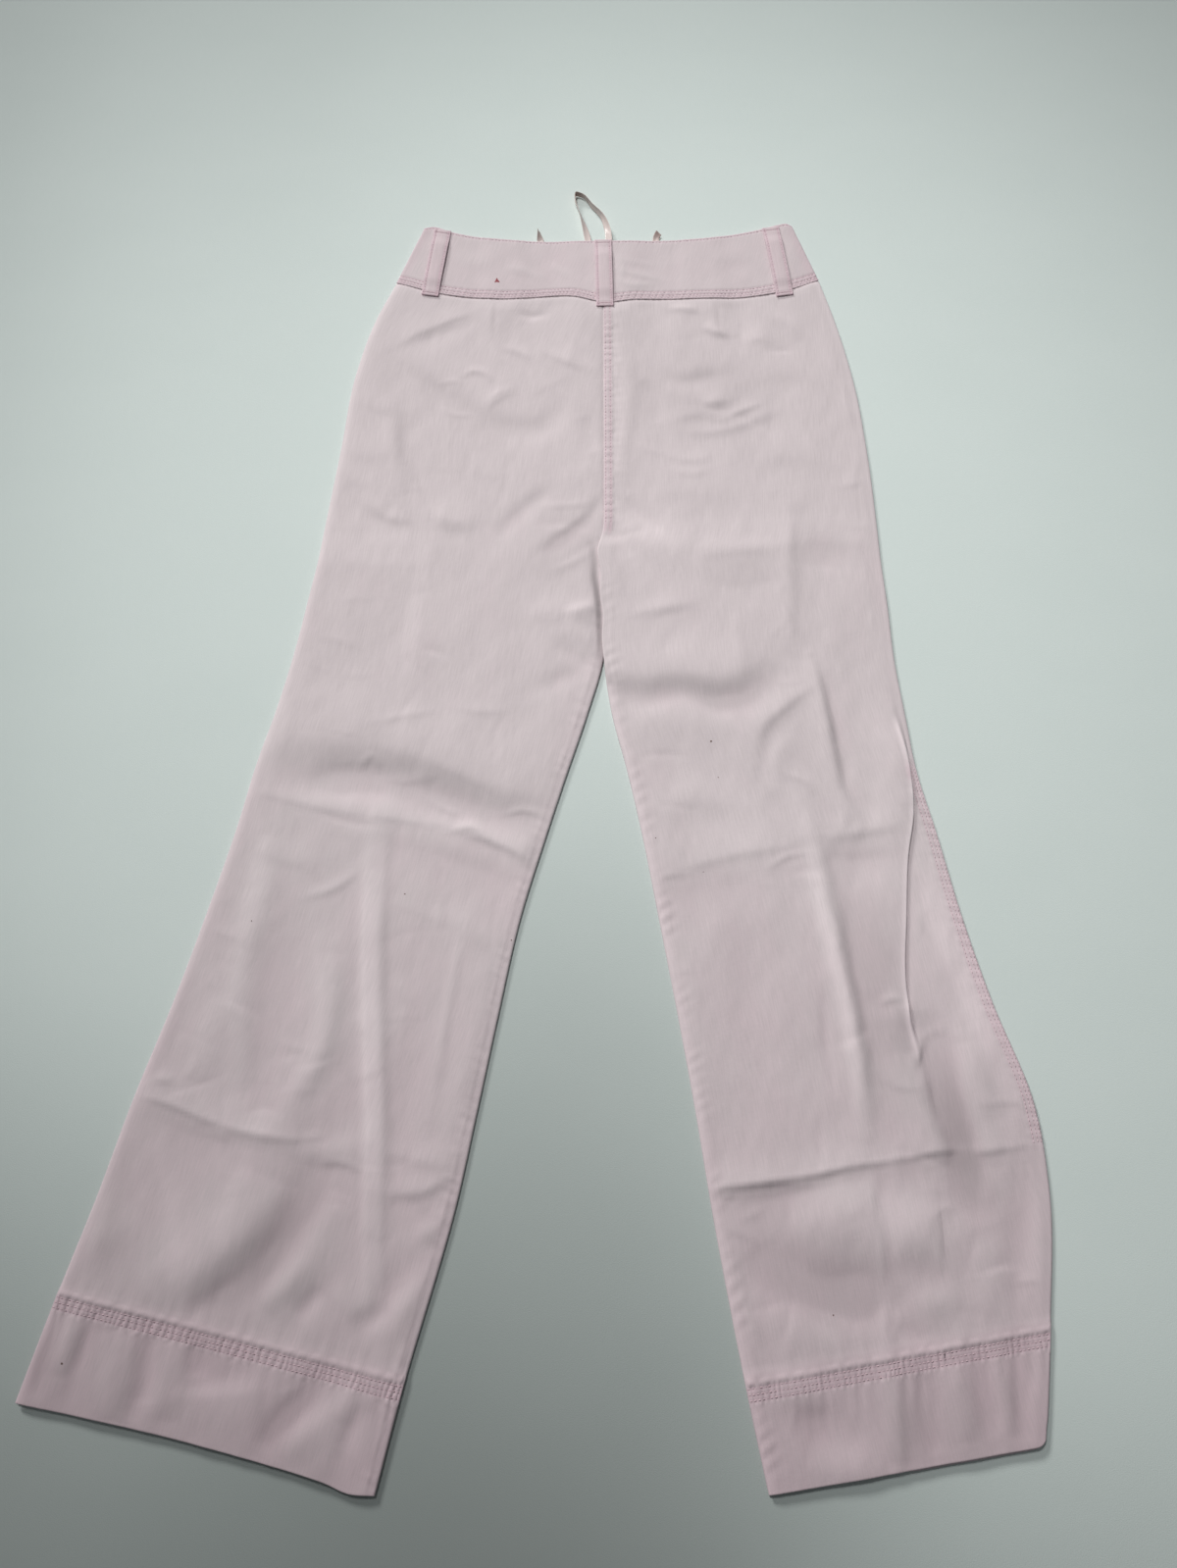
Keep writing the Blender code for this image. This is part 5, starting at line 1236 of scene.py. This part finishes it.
def addBack(side):
    isLeft = side == "left"
    ends, down = levelsOf(leftSections if isLeft else rightSections)
    at, every = rowPlaces(down)
    placed = smoothCurve(down, ends, at)
    first, last = placed[:, :2], placed[:, 2:]
    if isLeft:  # its edge goes in under the other's at the centre back
        last[:, 0] += -cloth["gap"] / 2 + lie["underFork"] * softStep(last[:, 1], *reversed(lie["forkFade"]))
        innerRollY, creases, lightAndFadeRows = lie["forkFade"], leftCreases, leftLightAndFadeRows
    else:
        first[:, 0] += cloth["gap"] / 2
        for shift, y, length in lie["forkHook"]:
            first[:, 0] += shift * bump(first[:, 1], y, length)
        innerRollY = (lie["overlapEnd"], lie["overlapEnd"] - lie["overlapFade"])
        creases, lightAndFadeRows = rightCreases, rightLightAndFadeRows
    width = np.linalg.norm(last - first, axis=1)
    if isLeft:
        away = columnsAway(width, panelGrid["edge"], panelGrid["cells"])
        lift = np.zeros_like(away)
    else:
        away, lift, fold, fall = tuckColumns(width, last[:, 1])
    away, lift = refined(away, panelGrid["finer"]), refined(lift, panelGrid["finer"])
    awayOuter, awayInner = fromEdges(away, width, isLeft)
    points = followWaist(pointsBetween(first, last, away), waist["seam"])
    points = shapeHem(points, away, awayOuter, width, at, isLeft)
    along = np.broadcast_to(at[:, None], away.shape)
    x, y = points[..., 0], points[..., 1]
    creases = creases + scattered(points, 71 if isLeft else 72)
    z, lines, edgeAway = backHeights(points, awayOuter, awayInner, at, creases, innerRollY)
    z += inseamRelief(awayInner, along, 44 if isLeft else 45) * softStep(y, *inseamSewing["below"])
    hem = hemShare(at)
    # painted light and shade: the rows of the table, a highlight along the rolled edges and shade over the hems
    fadeAndPaintedLight = creased(x, y, lightAndFadeRows) + backPaintedLight["edge"] * bump(edgeAway, 2.2, 2.6) - backPaintedLight["hem"] * hem
    atSeam = softStep(y, lie["forkY"] - 6.0, lie["forkY"] + 6.0)  # along the centre back
    belowWaist = lineOver(waist["seam"], x) - y
    z -= seamGroove["waist"] * bump(belowWaist, 0.0, seamGroove["width"])
    tones = backTones
    if isLeft:
        z -= seamGroove["centre"] * atSeam * bump(awayInner, 0.0, seamGroove["width"])
        seamTone = tones["centreLine"] * atSeam * bump(awayInner, 0.0, 2.0)
    else:
        values, edgeY = centreSewing, first[:, 1:]
        over = softStep(edgeY, *reversed(innerRollY)) * softStep(edgeY, *lie["forkFade"])
        z += lift + lie["overlapLift"] * over * softStep(away, *lie["overlapSlope"])
        seamBand = softStep(awayInner, 0.2, 1.0) * softStep(awayInner, values["band"] + 1.2, values["band"])
        seamBand = atSeam * seamBand
        z += seamBand * (values["height"] + values["pucker"] * ripples(along, values["period"], 41))
        z -= values["channel"] * atSeam * rowBumps(awayInner, values)
        beside = softStep(awayInner, 24.0, 8.0) * (1 - seamBand)
        z += values["ripple"] * atSeam * beside * ripples(along, 11.0, 42)
        window = softStep(y, *seamSewing["top"]) * softStep(y, *seamSewing["bottom"])
        z += sideRelief(awayOuter, along, window * softStep(awayOuter, 20.0, 12.0), 43)
        seamTone = (tones["seamBand"] * seamBand + tones["centreRows"] * atSeam * rowBumps(awayInner, values)
                    + tones["sideBand"] * window * softStep(awayOuter, 9.5, 7.5)
                    + tones["sideRows"] * window * rowBumps(awayOuter, seamSewing))
        # painted highlight along the folded edge of the tuck
        fadeAndPaintedLight = fadeAndPaintedLight + backPaintedLight["tuck"] * bump(away, fold[:, None], 2.2) * softStep(fall, 0.6, 1.6)[:, None]
    z += hemRelief(at, down[-2], awayInner, 51 if isLeft else 61) * softStep(edgeAway, 0.4, 2.5)
    belowSewn = (at - down[-2])[:, None]
    tone = seamTone + tones["edge"] * softStep(edgeAway, 14.0, 1.0) + tones["hem"] * hem
    # painted light and shade: paler on the crests, pinker in the troughs
    tone = tone + tones["waist"] * softStep(belowWaist, 5.0, 0.5) - tones["crest"] * np.clip(lines, -1.0, 1.6)
    tone = tone + tones["low"] * softStep(-320.0 - y, -420.0, 160.0) - tones["seat"] * softStep(y, 180.0, 360.0)
    tone = tone + tones["hemBand"] * softStep(belowSewn, -0.5, 1.0) * softStep(belowSewn, 11.0, 9.0)
    tone = tone + tones["hemRows"] * rowBumps(belowSewn, hemSewing)
    name = f"leg_back_{side}"
    grain = grainOf(away, along, 400.0 if isLeft else 800.0)
    piece, *wall = clothWall(name + "_cloth", np.dstack([points, z]), cloth["ply"] / 2,
                             cloth["ply"] / 2 + cloth["hemExtra"] * hem, cotton, grain, tone, every,
                             fadeAndPaintedLight=fadeAndPaintedLight)
    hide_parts(name)
    surfaces.append(wall)
    backSewing(side, wall, {"away": away, "down": down, "at": at, "first": first, "last": last,
                            "awayInner": awayInner, "awayOuter": awayOuter})
    print("back leg made:", side)


# Back and front legs: each a sheet, thicker at the hem where it is turned up


for side in ("left", "right"):
    addBack(side)


def addFront(side):
    isLeft = side == "left"
    ends, down = levelsOf(leftSections if isLeft else rightSections)
    at = np.linspace(0.0, down[-1], int(down[-1] / panelGrid["frontRowStep"]))
    placed = smoothCurve(down, ends, at)
    first, last = placed[:, :2], placed[:, 2:]
    if isLeft:
        last[:, 0] = np.minimum(last[:, 0], lie["seamX"]) - cloth["gap"] / 2
    else:
        first[:, 0] = np.maximum(first[:, 0], lie["seamX"]) + cloth["gap"] / 2
    width = np.linalg.norm(last - first, axis=1)
    away = columnsAway(width, panelGrid["frontEdge"], panelGrid["frontCells"])
    points = followWaist(pointsBetween(first, last, away), waist["frontSeam"])
    awayOuter, awayInner = fromEdges(away, width, isLeft)
    points = shapeHem(points, away, awayOuter, width, at, isLeft)
    if not isLeft:
        values = hemOutline
        peek = plateau(points[..., 0], *values["peekAt"])  # its edge shows below the back's
        points[..., 1] -= values["peek"] * peek * softStep(at, at[-1] - values["peekAbove"], at[-1])[:, None]
    x, y = points[..., 0], points[..., 1]
    lines = creased(x, y, frontCreases)
    near = np.minimum(awayOuter, awayInner)
    hem = hemShare(at)
    tones = frontTones
    # painted light: paler on the crests
    tone = tones["edge"] * softStep(near, 12.0, 1.0) + tones["hem"] * hem - tones["crest"] * lines
    above = cloth["ply"] / 2 + cloth["hemExtra"] * hem + 0.12 * softStep(near, 0.0, 18.0) * np.clip(lines, 0, 1)
    along = np.broadcast_to(at[:, None], away.shape)
    name = f"leg_front_{side}"
    centre = np.dstack([points, cloth["ply"] / 2 + frontLoopLift(x, y)])
    piece, _surface, _normal = clothWall(name + "_cloth", centre, above, cloth["ply"] / 2, cotton,
                                         grainOf(away, along, 1200.0 if isLeft else 1600.0), tone)
    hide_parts(name)


for side in ("left", "right"):
    addFront(side)
print("front legs made")


# Waistband, shaped, two plies, with three rows of stitches above its seam

bandGrid = {
    "columns": 271, "frontColumns": 120, "height": 66.0, "frontHeight": 71.0,
    "fromSeam": (0.0, 0.5, 1.1, 1.8, 2.5, 3.2, 4.0, 4.8, 5.6, 6.4, 7.2, 8.0, 9.0, 10.5, 12.5, 15.0),
    "fromTop": (4.6, 3.2, 2.4, 1.6, 0.9, 0.0), "middleRows": 22,
    "rows": (1.7, 4.4, 7.8), "rowWidth": 0.75, "topRow": 1.7, "channel": 0.42, "topChannel": 0.336,
    "pucker": 0.2, "period": 4.6, "turnedOver": 0.25, "uneven": 0.10,
}
# the crest share is painted light: paler on the crests
bandTones = {"low": 0.20, "top": 0.24, "crest": 0.15, "rows": 0.48, "topRow": 0.40, "sides": 0.25, "all": 0.10}
bandCreases = [
    ("band shadow left", [(-40, 484), (-24, 482), (-6, 475)], (6, 4), 0.5, 1.8),
    ("band shadow middle", [(2, 489), (12, 482), (24, 472)], (5, 4), 0.5, 1.8),
    ("band ripple low", [(60, 472), (78, 466), (102, 468)], (4, 3), 0.55, 1.8),
    ("band ripple", [(62, 482), (84, 477), (110, 471)], (4, 3), 0.45, 1.8),
    ("band ripple high", [(64, 494), (82, 490), (100, 488)], (4, 3), 0.3, 1.8),
    ("band pull", [(66, 500), (70, 484), (68, 466)], (3, 4), 0.5, 1.8),
    ("band soft right", [(140, 500), (170, 496), (196, 500)], (9, 7), 0.3, 2),
    ("band soft left", [(-88, 500), (-66, 492), (-44, 496)], (9, 7), 0.3, 2),
]


def bandPoints(startShare, endShare, columns, seam, downs):
    shares = np.linspace(startShare, endShare, columns)
    edges = []
    for table in (waist["top"], seam):
        x = table[0][0] + (table[-1][0] - table[0][0]) * shares
        edges.append(np.stack([x, lineOver(table, x)], axis=1))
    edges[1][:, 1] += cloth["gap"] / 2
    if seam is waist["frontSeam"]:
        edges[0][:, 1] -= frontDip(edges[0][:, 0])
    downs = downs[:, None, None]
    return edges[0] * (1 - downs) + edges[1] * downs


def bandShare(x):
    ends = [0.5 * (waist["top"][i][0] + waist["seam"][i][0]) for i in (0, -1)]
    return (x - ends[0]) / (ends[1] - ends[0])


def bandDowns(height):
    fromSeam = np.array(bandGrid["fromSeam"])
    fromTop = np.array(bandGrid["fromTop"])
    middle = np.linspace(fromSeam[-1], height - fromTop[0], bandGrid["middleRows"] + 2)[1:-1]
    return 1.0 - np.concatenate([fromSeam, middle, height - fromTop])[::-1] / height


def bandRelief(fromSeam, fromTop, along, seed):
    values = bandGrid
    relief = -values["channel"] * rowBumps(fromSeam, values)
    relief = relief - values["topChannel"] * bump(fromTop, values["topRow"], 0.8)
    drag = softStep(fromSeam, 13.0, 7.0) + 0.7 * softStep(fromTop, 7.0, 2.0)
    return relief + values["pucker"] * drag * ripples(along, values["period"], seed)


def addBand(name, startShare, endShare, columns, seam, level, seed):
    isBack, values, tones = seam is waist["seam"], bandGrid, bandTones
    height = values["height"] if isBack else values["frontHeight"]
    downs = bandDowns(height)
    points = bandPoints(startShare, endShare, columns, seam, downs)
    x, y = points[..., 0], points[..., 1]
    steps = np.linalg.norm(np.diff(points, axis=1), axis=2)
    along = np.concatenate([np.zeros((len(downs), 1)), np.cumsum(steps, axis=1)], axis=1)
    fromSeam = np.broadcast_to(((1 - downs) * height)[:, None], x.shape)
    fromTop = height - fromSeam
    z, lines = level(x, y), np.zeros_like(x)
    if isBack:
        lines = creased(x, y, bandCreases)
        z = z + bandRelief(fromSeam, fromTop, along, seed) + lines
        z = z + values["uneven"] * rumple(x, y, 30.0, 21) * softStep(fromTop, 0, 8)
        z = z + values["turnedOver"] * bump(fromSeam, 0.6, 1.2)
    sides = np.minimum(along, along[:, -1:] - along)
    tone = tones["low"] * softStep(fromSeam, 9.6, 7.6) + tones["top"] * softStep(fromTop, 4.0, 0.6)
    # painted light: paler on the crests
    tone = tone - tones["crest"] * lines + tones["rows"] * rowBumps(fromSeam, values)
    tone = tone + tones["topRow"] * bump(fromTop, values["topRow"], values["rowWidth"])
    tone = tone + tones["sides"] * softStep(sides, 12.0, 2.0) + tones["all"]
    ply = cloth["bandPly"] / 2
    piece, *wall = clothWall(name + "_cloth", np.dstack([points, z]), ply, ply, cotton,
                             grainOf(along, fromTop, 2000.0 + 100 * seed), tone)
    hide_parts(name)
    if isBack:
        surfaces.append(wall)
        across = np.linspace(1.0, columns - 2.0, 500)
        places = [float(np.interp(distance, fromSeam[::-1, 0], np.arange(len(downs))[::-1]))
                  for distance in (*values["rows"], height - values["topRow"])]
        addStitches(name + "_stitches", [rowLine(wall, place, across) for place in places])


def frontLevel(side):
    def level(x, y):
        inside = 0.0
        if side == "left":
            before = lie["seamX"] - waist["lapHalf"] - x
            inside = (cloth["bandPly"] + waist["lapSpace"]) * softStep(before, *waist["lapBend"])
        return cloth["bandPly"] / 2 + inside + frontLoopLift(x, y)
    return level


addBand("waistband_back", 0.0, 1.0, bandGrid["columns"], waist["seam"],
        lambda x, _y: bandLevel(x), 3)
addBand("waistband_front_left", 0.0, bandShare(lie["seamX"] + waist["lapHalf"]), bandGrid["frontColumns"],
        waist["frontSeam"], frontLevel("left"), 4)
addBand("waistband_front_right", bandShare(lie["seamX"] - waist["lapHalf"]), 1.0, bandGrid["frontColumns"],
        waist["frontSeam"], frontLevel("right"), 5)
print("waistband made")


# Belt loops

loopGrid = {"rows": 56, "across": (-1.0, -0.93, -0.82, -0.7, -0.55, -0.3, 0.0, 0.3, 0.55, 0.7, 0.82, 0.93, 1.0),
            "ends": (0.0, 0.5, 1.2, 2.0), "crown": 0.35}
loopSewing = {  # two rows of stitches down it, and a bar tack of close rows across it at each end
    "rows": (-0.74, 0.74), "rowWidth": 0.09, "toneWidth": 0.1, "channel": 0.34, "pucker": 0.10, "period": 5.0,
    "tackFromTop": 3.2, "tackFromBottom": 3.0, "tackRows": (-0.45, 0.0, 0.45), "tackDepth": 0.28,
    "stitch": {"pitch": 2.8, "length": 2.1, "thick": 0.6},
    "tackStitch": {"pitch": 1.15, "length": 1.1, "thick": 0.62},
}
loopTones = {"all": 0.10, "sides": 0.40, "low": 0.35, "rows": 0.6, "tacks": 1.2}


def addLoop(name, bottom, top, level):
    values, tones = loopSewing, loopTones
    bottom, top = np.array(bottom, float), np.array(top, float)
    length = float(np.linalg.norm(top - bottom))
    direction = (top - bottom) / length
    sideways = np.array([direction[1], -direction[0]]) * loopCut["width"] / 2
    share, ends = np.array(loopGrid["across"]), np.array(loopGrid["ends"])
    run = np.concatenate([ends[:-1], np.linspace(ends[-1], length - ends[-1], loopGrid["rows"]),
                          length - ends[-2::-1]])
    middle = top - direction * run[:, None]
    points = middle[:, None] + sideways * share[None, :, None]
    z = level(points[..., 0], run[:, None], length)
    crown = loopGrid["crown"] * (1 - share**2) * softStep(np.minimum(run, length - run), 0, 6)[:, None]
    ripple = ripples(run, values["period"], int(abs(bottom[0])))[:, None]
    pucker = values["pucker"] * softStep(np.abs(share), 0.5, 0.8) * ripple
    tackPlaces = (values["tackFromTop"], length - values["tackFromBottom"])
    tacks = values["tackDepth"] * sum(bump(run, place, 0.9) for place in tackPlaces)[:, None]
    z = z + crown - values["channel"] * rowBumps(share, values) + pucker
    z = z - tacks * softStep(np.abs(share), 1.0, 0.8)
    tone = tones["all"] + tones["sides"] * softStep(np.abs(share), 0.62, 0.9)
    tone = tone + tones["low"] * softStep(run[:, None], length - 4.0, length) + tones["tacks"] * tacks
    tone = tone + tones["rows"] * sum(bump(share, row, values["toneWidth"]) for row in values["rows"])
    across = np.broadcast_to(share * loopCut["width"] / 2, z.shape)
    grain = grainOf(across, np.broadcast_to(run[:, None], z.shape), bottom[0] * 7)
    ply = cloth["loopPly"] / 2
    piece, *wall = clothWall(name + "_cloth", np.dstack([points, z]), ply, ply, trim, grain,
                             np.broadcast_to(tone, z.shape).copy())
    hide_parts(name)
    rows = np.linspace(0.6, len(run) - 1.6, 120)
    columns = [np.interp(row, share, np.arange(len(share))) for row in values["rows"]]
    addStitches(name + "_stitches", [seamLine(*wall, rows, np.full(len(rows), column)) for column in columns],
                **values["stitch"])
    wide = np.linspace(0.8, len(share) - 1.8, 40)
    places = [float(np.interp(place + offset, run, np.arange(len(run))))
              for place in tackPlaces for offset in values["tackRows"]]
    addStitches(name + "_tacks", [rowLine(wall, place, wide) for place in places], **values["tackStitch"])


def backLoopLevel(x, run, length):  # slack between its two sewn ends
    slack = loopCut["rise"] * softStep(np.minimum(run, length - run), loopCut["sewn"], 2.6 * loopCut["sewn"])
    return bandLevel(x) + cloth["bandPly"] / 2 + cloth["gap"] + cloth["loopPly"] / 2 + slack


for side, (bottom, top) in loopCut["back"].items():
    addLoop(f"belt_loop_back_{side}", bottom, top, backLoopLevel)
for side, loopX in loopCut["frontX"].items():
    loopTop = float(lineOver(waist["top"], loopX) - frontDip(loopX)) - loopCut["frontEnds"][1]
    loopBottom = float(lineOver(waist["frontSeam"], loopX)) + loopCut["frontEnds"][0]
    addLoop(f"belt_loop_front_{side}", (loopX, loopBottom), (loopX, loopTop),
            lambda x, _run, _length: np.full(x.shape, cloth["loopPly"] / 2))
print("belt loops made")


# Fly: underlap, zip tape, and the flat hook and bar between the laps

def addFlatStrip(name, left, right, bottom, top, low, thick, material, taper=0.0, rows=40, columns=14):
    y = np.linspace(top, bottom, rows)
    draw = taper * (1.0 - np.sqrt(np.clip((y - bottom) / (3 * taper + 1e-6), 0.0, 1.0)))
    share = np.linspace(0.0, 1.0, columns)
    x = (left + draw)[:, None] * (1 - share) + (right - draw)[:, None] * share
    yAll = np.broadcast_to(y[:, None], x.shape)
    z = np.full_like(x, low + thick / 2)
    tone = 0.3 * softStep(np.minimum(x - left, right - x), 3.0, 0.5)
    piece, _surface, _normal = clothWall(name + "_piece", np.dstack([x, yAll, z]), thick / 2, thick / 2,
                                         material, grainOf(x, -yAll, 2900.0), tone, bulge=0.1)
    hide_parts(name)
    return piece


def addFly():
    values, seamX = flyCut, lie["seamX"]
    top = float(lineOver(waist["frontSeam"], seamX)) - values["belowSeam"]
    low = cloth["ply"] + cloth["gap"]
    addFlatStrip("fly_zip", seamX - values["zipWidth"] / 2, seamX + values["zipWidth"] / 2,
                 values["bottom"] + values["zipAbove"], top, low, values["zipThick"], tape)
    shield = addFlatStrip("fly_shield", seamX - values["width"] / 2, seamX + values["width"] / 2,
                          values["bottom"], top, low + values["zipThick"] + cloth["gap"], cloth["ply"],
                          cotton, taper=values["round"])
    bottom = top + values["catchUp"] - values["catchLength"] / 2
    for name, left in (("waist_hook", seamX - values["catchAway"] - values["catchWidth"]),
                       ("waist_bar", seamX + values["catchAway"])):
        addFlatStrip(name, left, left + values["catchWidth"], bottom, bottom + values["catchLength"],
                     cloth["bandPly"] + cloth["gap"], values["catchThick"], metal,
                     rows=12, columns=10)


addFly()
print("fly made")


# Small marks on the cloth

marks = {
    "spot": [(-46.0, 474.2), (-46.9, 472.4), (-48.0, 469.9), (-48.2, 468.9), (-46.4, 469.5), (-45.0, 469.2),
             (-43.6, 469.0), (-43.9, 470.4), (-45.1, 471.6)],
    "specks": [(140, 27, 0.9), (-109, -101, 0.7), (-230, -123, 0.6), (-23, -138, 0.6), (145, -4, 0.5),
               (93, -55, 0.5), (131, -83, 0.4), (219, -415, 0.7), (-345, -447, 0.8)],
    "above": 0.12, "corners": 9, "uneven": (0.6, 1.15),
}


def onCloth(x, y):  # the nearest point of the cloth's upper face, and its normal
    best = None
    for surface, normal in surfaces:
        away = (surface[..., 0] - x) ** 2 + (surface[..., 1] - y) ** 2
        cell = np.unravel_index(away.argmin(), away.shape)
        if best is None or away[cell] < best[0]:
            best = (away[cell], surface[cell], normal[cell])
    return best[1], best[2]


def addMark(name, outline, material):
    middle = np.mean(outline, axis=0)
    point, up = onCloth(*middle)
    corners = []
    for x, y in [tuple(middle), *outline]:
        slope = (up[0] * (x - point[0]) + up[1] * (y - point[1])) / up[2]
        corners.append((x, y, point[2] - slope + marks["above"]))
    count = len(outline)
    faces = [(0, 1 + corner, 1 + (corner + 1) % count) for corner in range(count)]
    addPiece(name, corners, faces, material)


def addMarks():
    addMark("red_spot", marks["spot"], soaked("redSpot", markFinish))
    lint = soaked("darkSpeck", speckFinish)
    for number, (x, y, radius) in enumerate(marks["specks"], 1):
        rng = np.random.default_rng(number)
        turns = np.arange(marks["corners"]) * 2 * math.pi / marks["corners"]
        reach = radius * rng.uniform(*marks["uneven"], marks["corners"])
        outline = [(x + r * math.cos(turn), y + r * math.sin(turn)) for r, turn in zip(reach, turns)]
        addMark(f"speck_{number}", outline, lint)


addMarks()
print("marks made")


# Floor and light

room = {
    "floor": 3.4, "below": 0.0002,
    "keyFrom": (-0.50, 0.86), "keyRise": 25.0, "keySoft": 12.0, "keyStrength": 1.64,
    "keyColour": (1.0, 0.985, 0.965),
    "lampPlace": (-0.60, 1.40, 2.60), "lampAim": (0.15, 0.18, 0.0), "lampCone": 36.6, "lampSoft": 0.38,
    "lampPower": 205.0, "lampColour": (1.0, 0.99, 0.98),
    "sky": (0.93, 0.97, 1.0), "skyStrength": 0.11, "backdrop": (0.80, 0.86, 0.84), "backdropStrength": 0.75,
}


def addLight(name, kind, place, aim, colour):
    data = bpy.data.lights.new(name, kind)
    data.color = colour
    light = bpy.data.objects.new(name, data)
    light.location = place
    toX, toY, toZ = np.subtract(place, aim)
    turn = math.atan2(toX, -toY) if toX or toY else 0.0
    light.rotation_euler = (math.atan2(math.hypot(toX, toY), toZ), 0.0, turn)
    bpy.context.scene.collection.objects.link(light)
    return data


def addLights():  # a low key from the top of the photo, so that every fold shows, and a lamp above
    rise = math.radians(room["keyRise"])
    flat = np.array(room["keyFrom"]) / np.linalg.norm(room["keyFrom"])
    away = np.array([*(flat * math.cos(rise)), math.sin(rise)])
    key = addLight("keyLight", "SUN", away * 3.0, (0.0, 0.0, 0.0), room["keyColour"])
    key.energy, key.angle = room["keyStrength"], math.radians(room["keySoft"])
    lamp = addLight("lampAbove", "SPOT", room["lampPlace"], room["lampAim"], room["lampColour"])
    lamp.energy, lamp.shadow_soft_size = room["lampPower"], room["lampSoft"]
    lamp.spot_size, lamp.spot_blend = math.radians(room["lampCone"]), 1.0


def addRoom():
    half = room["floor"] / 2
    mesh = bpy.data.meshes.new("floor")
    corners = [(-half, -half), (half, -half), (half, half), (-half, half)]
    mesh.from_pydata([(x, y, -room["below"]) for x, y in corners], [], [(0, 1, 2, 3)])
    mesh.materials.append(paintedFloor("paleFloor", floorFinish))
    floor = bpy.data.objects.new("floor", mesh)
    bpy.context.scene.collection.objects.link(floor)
    addLights()
    world = bpy.data.worlds.new("softRoom")
    world.use_nodes = True
    tree = world.node_tree
    sky = tree.nodes["Background"]
    backdrop = tree.nodes.new("ShaderNodeBackground")  # what the camera sees past the floor
    for node, colour, strength in ((sky, "sky", "skyStrength"), (backdrop, "backdrop", "backdropStrength")):
        node.inputs["Color"].default_value = (*room[colour], 1.0)
        node.inputs["Strength"].default_value = room[strength]
    seen = tree.nodes.new("ShaderNodeMixShader")
    tree.links.new(tree.nodes.new("ShaderNodeLightPath").outputs["Is Camera Ray"], seen.inputs[0])
    tree.links.new(sky.outputs[0], seen.inputs[1])
    tree.links.new(backdrop.outputs[0], seen.inputs[2])
    tree.links.new(seen.outputs[0], tree.nodes["World Output"].inputs["Surface"])
    bpy.context.scene.world = world
    bpy.context.scene.view_settings.view_transform = "Standard"


addRoom()
print("floor and light ready")
